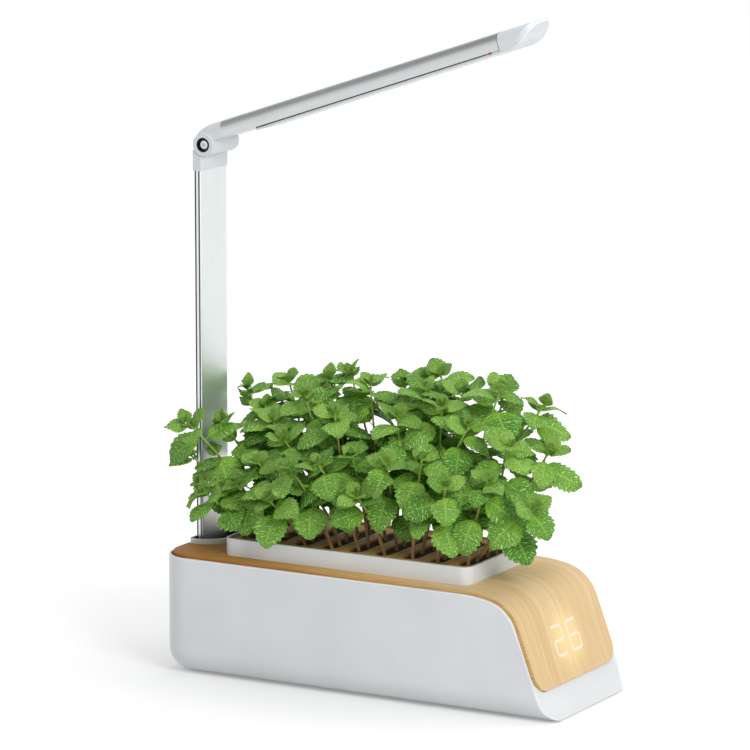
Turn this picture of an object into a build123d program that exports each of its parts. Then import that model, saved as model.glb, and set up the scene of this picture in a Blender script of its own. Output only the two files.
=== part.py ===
"""Countertop hydroponic garden: planter base, lift-out growing tray and a tilting lamp on a flat mast.

Millimetres, +Z up. The origin is on the surface that the garden stands on, under the middle of the
base. +X points to the sloping front with the display, -X to the mast end, Y runs across the base.
"""
import os
from math import asin, atan2, cos, degrees, radians, sin

from build123d import *

os.makedirs("parts", exist_ok=True)

# ---------------------------------------------------------------- driving dimensions
# Base shell: a deep tub whose rim is flat and then falls over the front to a flared toe.
base_length = 380.0
base_width = 149.0
rim_height = 102.5          # rim above the surface
foot_proud = 1.2            # the feet lift the shell by this much
shell_wall = 2.5
rear_corner_radius = 28.0   # rear corners, seen from above
belly_radius = 20.0         # rounding along the bottom edges
brow_radius = 129.0         # the gentle start of the fall
brow_angle = 12.8
knee_radius = 34.2          # the tighter bend after it
slope_angle = 69.4          # straight front, from the horizontal
flare_radius = 25.0         # hollow curve from the front to the toe
toe_angle = 30.0
toe_thickness = 1.4
ledge_width = 5.0           # side ledges that carry the deck

# Wooden deck: a bent sheet let into the shell, in two pieces.
deck_sink = 2.0             # let in below the rim
deck_proud = 3.0            # stands above the rim
deck_gap = 0.5
deck_rear_gap = 2.5
deck_corner_radius = 24.0
deck_seam = 49.0            # from the rear end of the base
seam_gap = 0.5
deck_foot_height = 24.5     # lower edge of the wood on the front
deck_foot_radius = 16.0

# Growing tray, planting board, sponges and plants.
tray_width = 113.0
tray_rim = 15.0             # above the deck
tray_rear = 55.5            # from the rear end of the base
tray_brow_reach = 0.9       # its front end past the flat part of the rim
tray_end_margin = 1.1       # between its ends and the first and last slots' shares of its length
tray_corner_radius = 9.0
tray_wall = 2.0
tray_edge = 0.5
tray_overhang = 3.0         # the tray's lip rests on the deck over this width
basin_gap = 1.0
basin_depth = 39.5          # below the deck's top
board_thickness = 6.0
board_drop = 2.0            # the board's top is this far below the tray's rim
board_gap = 0.5
board_edge = 0.75
slot_count = 9
slot_width = 14.0
slot_length = 84.0
sponge_gap = 0.4
sponge_drop = 2.0
drain_width = 5.0
drain_length = 60.0
stem_radius = 2.2
stems_per_row = 3
stem_spacing = 27.0
crown_base = 152.0          # underside of the foliage
crown_gap = 1.2
crown_width = 150.0
crown_edge = 8.0
crown_low = 242.0           # top of the foliage at the mast end
crown_high = 262.0          # and at the display end
crown_near_share = 0.3      # of its height that the foliage keeps at the near side
crown_far_share = 0.75      # and at the far side
ridge_near = 12.0           # the foliage is highest between these two, from the middle of the tray
ridge_far = 54.0
crown_reach_rear = 20.0     # the end rows lean out past the tray
crown_reach_front = 58.0
shoulder_top = 218.0        # of the last row's shoots that lean out over the display end
shoulder_start = 8.0
spray_length = 34.0         # of the shoots of the first row that hang out beside the mast
spray_low = 142.0
spray_high = 212.0
spray_near_top = 172.0
spray_mast_gap = 9.0

# Mast, collar and filler.
mast_inset = 11.0           # mast centre from the rear end of the base
mast_width = 43.4
mast_thickness = 6.6
mast_wall = 1.2
mast_edge_web = 3.0
mast_corner = 1.2
mast_groove_width = 1.3
mast_groove_depth = 1.0
mast_groove_offset = 1.75
mast_top = 429.0
mast_bottom = 46.0
collar_radius = 32.0
collar_centre = 7.3         # from the rear end of the base
collar_flat = 4.2           # rear flat, from the rear end of the base
collar_corner = 8.0
collar_wall = 2.6
collar_proud = 4.0
collar_plate = 2.0
collar_flange = 3.0
collar_edge = 0.65
fit_gap = 0.2
filler_length = 10.0
filler_width = 24.0
filler_corner = 3.2
filler_place = 27.0         # from the rear end of the base
strainer_depth = 26.0
strainer_wall = 1.2
strainer_hole = 2.4
strainer_hole_pitch = 4.6
strainer_holes = 4
socket_height = 50.0
socket_wall = 4.0
socket_floor = 4.0
socket_ear = 11.0
socket_ear_thickness = 4.0
socket_ear_rise = 30.0      # between the upper and lower screws

# Hinge between the mast cap and the lamp arm. Its axis runs along Y.
hinge_forward = 6.7         # axis ahead of the mast centre
hinge_height = 451.9
barrel_radius = 9.85
barrel_length = 46.0
barrel_dome = 3.0
bolt_recess_radius = 6.2
bolt_recess_depth = 4.5
cap_thickness = 8.8
cap_width = 44.4
cap_skirt = 8.0             # plug inside the mast
cradle_gap = 0.65
cradle_drop = 4.9           # top of the cap's horns below the hinge axis
lug_radius = 6.0
lug_width = 12.0
lug_web = 5.0
lug_gap = 0.4
washer_thickness = 0.5
washer_radius = 5.2
bolt_radius = 2.0
bolt_gap = 0.06
bolt_head_radius = 3.5
bolt_head_height = 2.6
bolt_hex = 1.6
nut_height = 3.2
nut_radius = 3.6
plug_thickness = 1.6
plug_edge = 0.5
arm_lift = 60.0             # the arm swings up by this much from rest
arm_drop = 14.0             # and down by this much
window_margin = 2.5

# Lamp arm, along its own axis from the hinge.
arm_tilt = 18.85            # above the horizontal at rest
arm_width = 42.0
arm_bottom = 1.0            # underside of the metal shell above the hinge axis, across the arm
arm_height = 14.4
arm_shoulder = 9.0          # rounding of the shell's upper corners
arm_wall = 1.3
shell_start = 20.0
shell_end = 300.0
neck_overlap = 10.0         # the plastic ends reach into the shell
cap_length = 37.0
prow_start = 6.0            # where the cap's underside starts to sweep up
prow_hold = 23.0            # it stays low up to about here
prow_turn = 26.0            # and climbs from here
prow_rise = 7.9
prow_nose = 2.0
prow_round = 19.0            # the tip's corners, seen from above the arm
lens_thickness = 2.0
lens_slit = 0.6
lens_start = 54.0
lens_rib = 2.0
board_lift = 4.0
led_board_thickness = 1.2
led_size = 3.5
led_height = 0.8
led_rows = 2
led_columns = 16
led_row_spacing = 17.0
indicator_radius = 1.2

# Water and electrics inside the base.
tank_gap = 1.0
tank_wall = 2.0
tank_corner = 18.0
tank_belly = 16.0
tank_front_gap = 4.5        # its front end ahead of the tray's basin
tank_rear = 19.3
tank_height = 92.0
pump_length = 42.0
pump_width = 32.0
pump_height = 27.0
pump_place = 84.0           # from the rear end of the base
pump_corner = 4.0
pump_outlet = 10.5          # ahead of the pump's middle
pump_vents = 4
pump_vent_pitch = 5.0
pump_vent_width = 1.4
pump_vent_height = 13.0
pump_vent_depth = 2.0
tube_radius = 4.0
tube_bore = 2.8
tube_gap = 0.4
probe_radius = 1.5
probe_spacing = 10.0
probe_head = 6.0
probe_place = 200.0         # from the rear end of the base
probe_drop = 2.0            # its top below the basin of the tray
probe_clear = 20.0          # ends of the rods above the tank's floor
jack_radius = 4.5
jack_bore = 3.0
jack_pin = 1.0
jack_bore_depth = 12.0
jack_length = 14.0
jack_flange = 6.0
jack_flange_thickness = 1.2
jack_offset = 38.0
jack_height = 30.0
display_digit_width = 16.5  # between the middles of the bars
display_digit_height = 25.0
display_pitch = 26.5
display_stroke = 2.4
display_drop = 23.0         # centre of the digits below the top of the straight front
display_depth = 0.6
display_digits = "26"
segment_break = 0.5
window_length = 60.0
window_height = 34.0
holder_depth = 7.0
pcb_width = 70.0
pcb_height = 48.0
pcb_thickness = 1.6
pcb_gap = 7.0               # ahead of the tank
bracket_size = 10.0
bracket_groove = 5.0
hatch_length = 56.0
hatch_width = 74.0
hatch_lip = 5.0
hatch_thickness = 1.4
hatch_gap = 0.3
hatch_setback = 48.0        # from the front end of the base
foot_radius = 7.0
foot_recess = 1.0
foot_spread_x = 262.0       # between the front and rear feet
foot_hatch_margin = 2.0     # between the feet and the lines of the service cover's long sides

# Fasteners.
screw_radius = 1.25
screw_head_radius = 2.3
screw_head_height = 1.0
screw_bite = 1.5
deck_screw_margin = 15.0    # from the ends of the front deck's flat part

# ---------------------------------------------------------------- places worked out from them
rear_x = -base_length / 2
front_x = base_length / 2
half_width = base_width / 2
shell_bottom = foot_proud
deck_top = rim_height + deck_proud
deck_under = rim_height - deck_sink
tray_top = deck_top + tray_rim
basin_floor = deck_top - basin_depth
board_top = tray_top - board_drop
board_under = board_top - board_thickness
sponge_top = board_top - sponge_drop
sponge_bottom = basin_floor + tray_wall
mast_x = rear_x + mast_inset
hinge_x = mast_x + hinge_forward
rear_inside = rear_x + shell_wall

# The front, built back from the toe: flare, straight slope, knee, brow, flat rim.
slope_run, slope_fall = cos(radians(slope_angle)), sin(radians(slope_angle))
brow_sin, brow_cos = sin(radians(brow_angle)), cos(radians(brow_angle))
toe_sin, toe_cos = sin(radians(toe_angle)), cos(radians(toe_angle))
flare_x = front_x - flare_radius * (slope_fall - toe_sin)
flare_z = shell_bottom + toe_thickness + flare_radius * (toe_cos - slope_run)
knee_z = rim_height - brow_radius * (1 - brow_cos) - knee_radius * (brow_cos - slope_run)
slope_length = (knee_z - flare_z) / slope_fall
knee_x = flare_x - slope_length * slope_run
brow_x = knee_x - brow_radius * brow_sin - knee_radius * (slope_fall - brow_sin)
tray_length = brow_x - rear_x - tray_rear + tray_brow_reach
tray_centre = rear_x + tray_rear + tray_length / 2
tray_hole_length = tray_length - 2 * tray_overhang
tray_hole_width = tray_width - 2 * tray_overhang
basin_length = tray_hole_length - 2 * basin_gap
basin_width = tray_hole_width - 2 * basin_gap
slot_pitch = (tray_length - 2 * tray_end_margin) / slot_count
tank_front = tray_centre + basin_length / 2 + tank_front_gap
front_wall = deck_sink + shell_wall
slope_down = Vector(slope_run, 0, -slope_fall)
slope_out = Vector(slope_fall, 0, slope_run)
deck_slope_length = (knee_z - deck_foot_height) / slope_fall
arm_axis = Vector(cos(radians(arm_tilt)), 0, sin(radians(arm_tilt)))
arm_up = Vector(-arm_axis.Z, 0, arm_axis.X)
hinge = Vector(hinge_x, 0, hinge_height)


# ---------------------------------------------------------------- shapes used more than once
def front_edges(out, start_x, length):
    """Draw the rim line, moved outward by out, from start_x to length down the straight front."""
    flat = Line((start_x, rim_height + out), (brow_x, rim_height + out))
    brow = JernArc(flat @ 1, (1, 0), brow_radius + out, -brow_angle)
    knee = JernArc(brow @ 1, brow % 1, knee_radius + out, brow_angle - slope_angle)
    return PolarLine(knee @ 1, length, direction=knee % 1)


def tub_block(inset):
    """A long block with the tub's rounded rear and belly, smaller by inset, open towards the front."""
    reach = 2 * belly_radius
    with BuildPart() as block:
        with BuildSketch(Plane.XY.offset(shell_bottom + inset)):
            with Locations(((reach + inset) / 2, 0)):
                Rectangle(base_length + reach - inset, base_width - 2 * inset)
        extrude(amount=rim_height)
        rear = block.edges().filter_by(Axis.Z).group_by(Axis.X)[0]
        fillet(rear, rear_corner_radius - inset)
        belly = block.faces().sort_by(Axis.Z)[0].edges()
        fillet(belly - belly.filter_by(Axis.Y).sort_by(Axis.X)[-1:], belly_radius - inset)
    return block.part


def deck_sheet(gap, under, over, rear, foot_gap):
    """The bent sheet of the deck, from under to over the rim line, held back by gap at the sides."""
    side = half_width - shell_wall - gap
    with BuildPart() as sheet:
        with BuildSketch(Plane.XZ):
            with BuildLine():
                upper = front_edges(over, rear, deck_slope_length + foot_gap)
                lower = front_edges(-under, rear, deck_slope_length + foot_gap)
                Line(upper @ 1, lower @ 1)
                Line((rear, rim_height + over), (rear, rim_height - under))
            make_face()
        extrude(amount=side, both=True)
        fillet(sheet.edges().filter_by(Axis.Z).group_by(Axis.X)[0], deck_corner_radius)
        foot = sheet.faces().filter_by(Axis.Y, reverse=True).sort_by(Axis.Z)[0]
        fillet(foot.edges().filter_by(Axis.Y, reverse=True), deck_foot_radius + foot_gap)
    return sheet.part


def collar_outline(grow):
    """The D-shaped outline of the collar, larger by grow."""
    middle = rear_x + collar_centre
    rear = rear_x + collar_flat - grow
    with BuildSketch() as outline:
        with Locations((middle, 0)):
            Circle(collar_radius + grow)
        with Locations((rear - collar_radius, 0)):
            Rectangle(2 * collar_radius, 4 * collar_radius, mode=Mode.SUBTRACT)
        fillet(outline.vertices(), collar_corner + grow)
    return outline.sketch


def arm_outline(inset, bottom):
    """The lamp arm's section: upper corners rounded, smaller by inset, down to bottom."""
    top = arm_bottom + arm_height - inset
    with BuildSketch() as outline:
        with Locations((0, (top + bottom) / 2)):
            Rectangle(arm_width - 2 * inset, top - bottom)
        fillet(outline.vertices().group_by(Axis.Y)[-1], arm_shoulder - inset)
    return outline.sketch


def arm_section(along):
    """The plane across the lamp arm at a distance along it from the hinge axis."""
    return Plane(origin=hinge + arm_axis * along, x_dir=(0, 1, 0), z_dir=arm_axis)


def screw(length):
    """A pan-head screw: its head stands on z 0 and its shank goes down."""
    with BuildPart() as one:
        Cylinder(screw_head_radius, screw_head_height, align=(Align.CENTER, Align.CENTER, Align.MIN))
        Cylinder(screw_radius, length, align=(Align.CENTER, Align.CENTER, Align.MAX))
    return one.part


def finish(part, name):
    """Label a finished piece and write it out."""
    part.label = name
    export_step(part, f"parts/{name}.step")


# ---------------------------------------------------------------- base shell
hull = tub_block(0)
hollow = tub_block(shell_wall)
deck_pocket = deck_sheet(0, deck_sink, 2 * deck_proud, rear_inside, deck_gap)
collar_clear = collar_outline(deck_gap)
opening_front = tank_front + tank_gap
opening_width = base_width - 2 * (shell_wall + ledge_width)
hatch_x = front_x - hatch_setback
foot_spread_y = hatch_width + 2 * (foot_radius + foot_hatch_margin)
front_start = rear_x + deck_seam
deck_screw_x = (front_start + brow_x) / 2
ledge_bottom = rim_height - front_wall
display_middle = Vector(knee_x, 0, knee_z) + slope_down * display_drop
front_plane = Plane(origin=display_middle, x_dir=(0, 1, 0), z_dir=slope_out)
jack_plane = Plane(origin=(rear_x, jack_offset, jack_height), z_dir=(-1, 0, 0))
socket_bottom = mast_bottom - socket_floor
socket_middle = socket_bottom + socket_height / 2
socket_width = mast_width + 2 * (fit_gap + socket_wall)
rear_wall_plane = Plane.YZ.offset(rear_inside)
downwards = (0, 0, -1)


def ear_places():
    """The four screws in the ears of the mast socket."""
    return GridLocations(socket_width + socket_ear, socket_ear_rise, 2, 2)


def hatch_screw_places():
    """The four screws at the corners of the service cover."""
    return GridLocations(hatch_length - hatch_lip, hatch_width - hatch_lip, 2, 2)


def deck_screw_places():
    """The six screws up through the side ledges into the deck."""
    spacing = (brow_x - front_start) / 2 - deck_screw_margin
    return GridLocations(spacing, base_width - 2 * shell_wall - ledge_width, 3, 2)


with BuildPart() as inside:
    with BuildSketch(Plane.XZ):
        with BuildLine():
            skin = front_edges(-front_wall, rear_x, slope_length)
            Polyline(
                skin @ 1,
                ((skin @ 1).X, shell_bottom + shell_wall),
                (rear_x, shell_bottom + shell_wall),
                (rear_x, rim_height - front_wall),
            )
        make_face()
    extrude(amount=half_width, both=True)
    with BuildSketch(Plane.XY.offset(rim_height / 2)):
        with Locations(((rear_x + opening_front) / 2, 0)):
            Rectangle(opening_front - rear_x, opening_width)
    extrude(amount=rim_height / 2)
    add(hollow, mode=Mode.INTERSECT)

with BuildPart() as base_shell:
    with BuildSketch(Plane.XZ):
        with BuildLine():
            slope = front_edges(0, rear_x, slope_length)
            toe = JernArc(slope @ 1, slope % 1, flare_radius, slope_angle - toe_angle)
            Polyline(
                toe @ 1,
                ((toe @ 1).X, shell_bottom),
                (rear_x, shell_bottom),
                (rear_x, rim_height),
            )
        make_face()
    extrude(amount=half_width, both=True)
    add(hull, mode=Mode.INTERSECT)
    add(inside.part, mode=Mode.SUBTRACT)
    add(deck_pocket, mode=Mode.SUBTRACT)
    # Room for the collar where it passes the rear of the deck.
    with BuildSketch(Plane.XY.offset(deck_under - front_wall)):
        add(collar_clear)
    extrude(amount=2 * front_wall, mode=Mode.SUBTRACT)
    # Pockets for the rubber feet.
    with BuildSketch(Plane.XY.offset(shell_bottom)):
        with GridLocations(foot_spread_x, foot_spread_y, 2, 2):
            Circle(foot_radius)
    extrude(amount=foot_recess, mode=Mode.SUBTRACT)
    # Service hatch under the electronics: a recess for the cover and an opening inside its lip.
    with BuildSketch(Plane.XY.offset(shell_bottom)):
        with Locations((hatch_x, 0)):
            Rectangle(hatch_length + 2 * hatch_gap, hatch_width + 2 * hatch_gap)
    extrude(amount=hatch_thickness, mode=Mode.SUBTRACT)
    with BuildSketch(Plane.XY.offset(shell_bottom)):
        with Locations((hatch_x, 0)):
            Rectangle(hatch_length - 2 * hatch_lip, hatch_width - 2 * hatch_lip)
            with hatch_screw_places():
                Circle(screw_radius)
    extrude(amount=shell_wall, mode=Mode.SUBTRACT)
    # Window behind the wood for the display.
    with BuildSketch(front_plane):
        Rectangle(window_length, window_height)
    extrude(amount=-2 * front_wall, mode=Mode.SUBTRACT)
    # Hole and recess for the power socket, and blind holes for the mast socket's screws.
    with BuildSketch(jack_plane):
        Circle(jack_radius + fit_gap)
    extrude(amount=-2 * shell_wall, mode=Mode.SUBTRACT)
    with BuildSketch(jack_plane):
        Circle(jack_flange + fit_gap)
    extrude(amount=-jack_flange_thickness, mode=Mode.SUBTRACT)
    with BuildSketch(rear_wall_plane):
        with Locations((0, socket_middle)):
            with ear_places():
                Circle(screw_radius)
    extrude(amount=-screw_bite, mode=Mode.SUBTRACT)
    # Holes in the side ledges for the deck's screws.
    with BuildSketch(Plane.XY.offset(rim_height - front_wall)):
        with Locations((deck_screw_x, 0)):
            with deck_screw_places():
                Circle(screw_radius)
    extrude(amount=front_wall, mode=Mode.SUBTRACT)
finish(base_shell.part, "base_shell")

with BuildPart() as rubber_feet:
    with BuildSketch():
        with GridLocations(foot_spread_x, foot_spread_y, 2, 2):
            Circle(foot_radius)
    extrude(amount=foot_proud + foot_recess)
finish(rubber_feet.part, "rubber_feet")

with BuildPart() as service_cover:
    with BuildSketch(Plane.XY.offset(shell_bottom)):
        with Locations((hatch_x, 0)):
            Rectangle(hatch_length, hatch_width)
            with hatch_screw_places():
                Circle(screw_radius, mode=Mode.SUBTRACT)
    extrude(amount=hatch_thickness)
finish(service_cover.part, "service_cover")

cover_screw = screw(shell_wall)
with BuildPart() as cover_screws:
    with Locations(Plane(origin=(hatch_x, 0, shell_bottom), x_dir=(1, 0, 0), z_dir=downwards)):
        with hatch_screw_places():
            add(cover_screw)
finish(cover_screws.part, "cover_screws")

# ---------------------------------------------------------------- wooden deck
deck_blank = deck_sheet(deck_gap, deck_sink, deck_proud, rear_inside + deck_rear_gap, 0)

with BuildPart() as rear_deck:
    add(deck_blank)
    with BuildSketch(Plane.XY.offset(deck_under)):
        with Locations((front_start - seam_gap + base_length, 0)):
            Rectangle(2 * base_length, base_width)
        add(collar_clear)
    extrude(amount=deck_sink + deck_proud, mode=Mode.SUBTRACT)
    with BuildSketch(Plane.XY):
        with Locations((front_start - seam_gap + base_length, 0)):
            Rectangle(2 * base_length, base_width)
    extrude(amount=rim_height, mode=Mode.SUBTRACT)
finish(rear_deck.part, "rear_deck")

# Seven-segment digits: each lit bar is a thin inlay in the wood.
bar_across = display_digit_width - display_stroke - 2 * segment_break
bar_up = display_digit_height / 2 - display_stroke - 2 * segment_break
bar_places = {
    "a": (0, 1, True),
    "b": (1, 0.5, False),
    "c": (1, -0.5, False),
    "d": (0, -1, True),
    "e": (-1, -0.5, False),
    "f": (-1, 0.5, False),
    "g": (0, 0, True),
}
lit_bars = {"2": "abged", "6": "afgedc"}
digit_offset = -display_pitch * (len(display_digits) - 1) / 2
with BuildSketch() as digit_bars:
    for order, digit in enumerate(display_digits):
        for bar in lit_bars[digit]:
            side, level, lying = bar_places[bar]
            across = digit_offset + order * display_pitch + side * display_digit_width / 2
            with Locations((across, level * display_digit_height / 2)):
                if lying:
                    SlotOverall(bar_across + display_stroke, display_stroke)
                else:
                    SlotOverall(bar_up + display_stroke, display_stroke, rotation=90)
inlay_plane = front_plane.offset(deck_proud)

with BuildPart() as front_deck:
    add(deck_blank)
    with BuildSketch(Plane.XY):
        with Locations((front_start - base_length, 0)):
            Rectangle(2 * base_length, base_width)
        with Locations((tray_centre, 0)):
            RectangleRounded(tray_hole_length, tray_hole_width, tray_corner_radius)
    extrude(amount=2 * rim_height, mode=Mode.SUBTRACT)
    with BuildSketch(inlay_plane):
        add(digit_bars.sketch)
    extrude(amount=-display_depth, mode=Mode.SUBTRACT)
    with BuildSketch(Plane.XY.offset(deck_under)):
        with Locations((deck_screw_x, 0)):
            with deck_screw_places():
                Circle(screw_radius)
    extrude(amount=screw_bite, mode=Mode.SUBTRACT)
finish(front_deck.part, "front_deck")

with BuildPart() as display_inlay:
    with BuildSketch(inlay_plane):
        add(digit_bars.sketch)
    extrude(amount=-display_depth)
finish(display_inlay.part, "display_digits")

deck_screw = screw(shell_wall + screw_bite)
with BuildPart() as deck_screws:
    with Locations(Plane(origin=(deck_screw_x, 0, ledge_bottom), x_dir=(1, 0, 0), z_dir=downwards)):
        with deck_screw_places():
            add(deck_screw)
finish(deck_screws.part, "deck_screws")

with BuildPart() as display_holder:
    with BuildSketch(front_plane.offset(-front_wall)):
        Rectangle(window_length - 2 * fit_gap, window_height - 2 * fit_gap)
    extrude(amount=shell_wall)
    with BuildSketch(front_plane.offset(-front_wall)):
        RectangleRounded(window_length + holder_depth, window_height + holder_depth, shell_wall)
    extrude(amount=-holder_depth)
finish(display_holder.part, "display_holder")

# ---------------------------------------------------------------- electronics and water
floor_z = shell_bottom + shell_wall
pcb_x = tank_front + pcb_gap
with BuildPart() as board_bracket:
    with Locations((pcb_x, 0, floor_z)):
        Box(bracket_size, pcb_width, bracket_size, align=(Align.CENTER, Align.CENTER, Align.MIN))
    with Locations((pcb_x, 0, floor_z + bracket_size)):
        Box(
            pcb_thickness + fit_gap,
            pcb_width,
            bracket_groove,
            align=(Align.CENTER, Align.CENTER, Align.MAX),
            mode=Mode.SUBTRACT,
        )
finish(board_bracket.part, "board_bracket")

with BuildPart() as control_board:
    with Locations((pcb_x, 0, floor_z + bracket_size - bracket_groove)):
        Box(pcb_thickness, pcb_width, pcb_height, align=(Align.CENTER, Align.CENTER, Align.MIN))
finish(control_board.part, "control_board")

tank_length = tank_front - rear_x - tank_rear
tank_x = tank_front - tank_length / 2
tank_width = opening_width - 2 * tank_gap
with BuildPart() as inner_tank:
    with BuildSketch(Plane.XY.offset(floor_z)):
        with Locations((tank_x, 0)):
            RectangleRounded(tank_length, tank_width, tank_corner)
    extrude(amount=tank_height)
    fillet(inner_tank.faces().sort_by(Axis.Z)[0].edges(), tank_belly)
    offset(amount=-tank_wall, openings=inner_tank.faces().sort_by(Axis.Z)[-1])
finish(inner_tank.part, "inner_tank")

pump_x = rear_x + pump_place
tank_floor = floor_z + tank_wall
tube_x = pump_x + pump_outlet
with BuildPart() as water_pump:
    with Locations((pump_x, 0, tank_floor)):
        Box(pump_length, pump_width, pump_height, align=(Align.CENTER, Align.CENTER, Align.MIN))
    fillet(water_pump.edges().filter_by(Axis.Z), pump_corner)
    with Locations((pump_x - pump_length / 2, 0, tank_floor + pump_height / 2)):
        with GridLocations(0, pump_vent_pitch, 1, pump_vents):
            Box(2 * pump_vent_depth, pump_vent_width, pump_vent_height, mode=Mode.SUBTRACT)
finish(water_pump.part, "water_pump")

with BuildPart() as pump_tube:
    with BuildSketch(Plane.XY.offset(tank_floor + pump_height)):
        with Locations((tube_x, 0)):
            Circle(tube_radius)
            Circle(tube_bore, mode=Mode.SUBTRACT)
    extrude(amount=basin_floor - tube_gap - tank_floor - pump_height)
finish(pump_tube.part, "pump_tube")

probe_x = rear_x + probe_place
probe_y = tank_width / 2 - tank_wall - probe_head / 2
probe_top = basin_floor - probe_drop
with BuildPart() as level_probe:
    with Locations((probe_x, probe_y, probe_top)):
        Box(2 * probe_spacing, probe_head, probe_head, align=(Align.CENTER, Align.CENTER, Align.MAX))
    with BuildSketch(Plane.XY.offset(probe_top - probe_head)):
        with Locations((probe_x, probe_y)):
            with GridLocations(probe_spacing, 0, 2, 1):
                Circle(probe_radius)
    extrude(amount=-(probe_top - probe_head - tank_floor - probe_clear))
finish(level_probe.part, "level_probe")

with BuildPart() as power_socket:
    with BuildSketch(jack_plane):
        Circle(jack_flange)
    extrude(amount=-jack_flange_thickness)
    with BuildSketch(jack_plane):
        Circle(jack_radius)
    extrude(amount=-jack_length)
    with BuildSketch(jack_plane):
        Circle(jack_bore)
        Circle(jack_pin, mode=Mode.SUBTRACT)
    extrude(amount=-jack_bore_depth, mode=Mode.SUBTRACT)
finish(power_socket.part, "power_socket")

# ---------------------------------------------------------------- mast and collar
with BuildSketch() as mast_section:
    with Locations((mast_x, 0)):
        RectangleRounded(mast_thickness, mast_width, mast_corner)
        Rectangle(
            mast_thickness - 2 * mast_wall,
            mast_width - 2 * mast_edge_web,
            mode=Mode.SUBTRACT,
        )
        with GridLocations(2 * mast_groove_offset, mast_width, 2, 2):
            Rectangle(mast_groove_width, 2 * mast_groove_depth, mode=Mode.SUBTRACT)

with BuildPart() as mast_profile:
    with BuildSketch(Plane.XY.offset(mast_bottom)):
        add(mast_section.sketch)
    extrude(amount=mast_top - mast_bottom)
finish(mast_profile.part, "mast_profile")

with BuildSketch() as mast_hole:
    with Locations((mast_x, 0)):
        Rectangle(mast_thickness + 2 * fit_gap, mast_width + 2 * fit_gap)

socket_depth = mast_inset + mast_thickness / 2 + fit_gap + socket_wall - shell_wall
with BuildPart() as mast_socket:
    with BuildSketch(Plane.XY.offset(socket_bottom)):
        with Locations((rear_inside, 0)):
            Rectangle(socket_depth, socket_width, align=(Align.MIN, Align.CENTER))
            Rectangle(
                socket_ear_thickness,
                socket_width + 2 * socket_ear,
                align=(Align.MIN, Align.CENTER),
            )
    extrude(amount=socket_height)
    with BuildSketch(Plane.XY.offset(mast_bottom)):
        add(mast_hole.sketch)
    extrude(amount=socket_height, mode=Mode.SUBTRACT)
    with BuildSketch(rear_wall_plane):
        with Locations((0, socket_middle)):
            with ear_places():
                Circle(screw_radius)
    extrude(amount=socket_ear_thickness, mode=Mode.SUBTRACT)
finish(mast_socket.part, "mast_socket")

socket_screw = screw(socket_ear_thickness + screw_bite)
with BuildPart() as socket_screws:
    with Locations(rear_wall_plane.offset(socket_ear_thickness)):
        with Locations((0, socket_middle)):
            with ear_places():
                add(socket_screw)
finish(socket_screws.part, "socket_screws")

filler_x = rear_x + filler_place
plate_bottom = deck_under - collar_plate
collar_shape = collar_outline(0)
collar_inside = collar_outline(-collar_wall)
collar_seat = collar_outline(collar_flange)
with BuildPart() as mast_collar:
    with BuildSketch(Plane.XY.offset(plate_bottom)):
        add(collar_seat)
        with Locations((rear_inside + fit_gap, 0)):
            Rectangle(base_length, base_width, align=(Align.MAX, Align.CENTER), mode=Mode.SUBTRACT)
    extrude(amount=collar_plate)
    with BuildSketch(Plane.XY.offset(plate_bottom)):
        add(collar_shape)
    extrude(amount=deck_top + collar_proud - plate_bottom)
    fillet(mast_collar.faces().sort_by(Axis.Z)[-1].edges(), collar_edge)
    with BuildSketch(Plane.XY.offset(deck_under)):
        add(collar_inside)
    extrude(amount=rim_height, mode=Mode.SUBTRACT)
    with BuildSketch(Plane.XY.offset(plate_bottom)):
        add(mast_hole.sketch)
        with Locations((filler_x, 0)):
            RectangleRounded(filler_length, filler_width, filler_corner)
    extrude(amount=collar_plate, mode=Mode.SUBTRACT)
finish(mast_collar.part, "mast_collar")

strainer_length = filler_length - 2 * fit_gap
strainer_width = filler_width - 2 * fit_gap
strainer_corner = filler_corner - fit_gap
with BuildPart() as filler_strainer:
    with BuildSketch(Plane.XY.offset(deck_under)):
        with Locations((filler_x, 0)):
            RectangleRounded(
                filler_length + 2 * strainer_wall,
                filler_width + 2 * strainer_wall,
                filler_corner,
            )
    extrude(amount=strainer_wall)
    with BuildSketch(Plane.XY.offset(deck_under - strainer_depth)):
        with Locations((filler_x, 0)):
            RectangleRounded(strainer_length, strainer_width, strainer_corner)
    extrude(amount=strainer_depth)
    with BuildSketch(Plane.XY.offset(deck_under - strainer_depth + strainer_wall)):
        with Locations((filler_x, 0)):
            RectangleRounded(
                strainer_length - 2 * strainer_wall,
                strainer_width - 2 * strainer_wall,
                strainer_corner - strainer_wall,
            )
    extrude(amount=strainer_depth, mode=Mode.SUBTRACT)
    with BuildSketch(Plane.XY.offset(deck_under - strainer_depth)):
        with Locations((filler_x, 0)):
            with GridLocations(0, strainer_hole_pitch, 1, strainer_holes):
                Circle(strainer_hole / 2)
    extrude(amount=strainer_wall, mode=Mode.SUBTRACT)
finish(filler_strainer.part, "filler_strainer")

# ---------------------------------------------------------------- mast cap with the hinge lug
hinge_plane = Plane(origin=hinge, x_dir=(1, 0, 0), z_dir=(0, -1, 0))
arm_plane = Plane(origin=hinge, x_dir=arm_axis, z_dir=(0, -1, 0))
web_lean = degrees(atan2(hinge_forward, barrel_radius + cradle_gap))
web_reach = barrel_radius + cap_thickness
web_half_angle = degrees(asin(lug_web / 2 / (lug_radius + lug_gap)))
cheek = lug_width / 2 + washer_thickness

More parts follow.
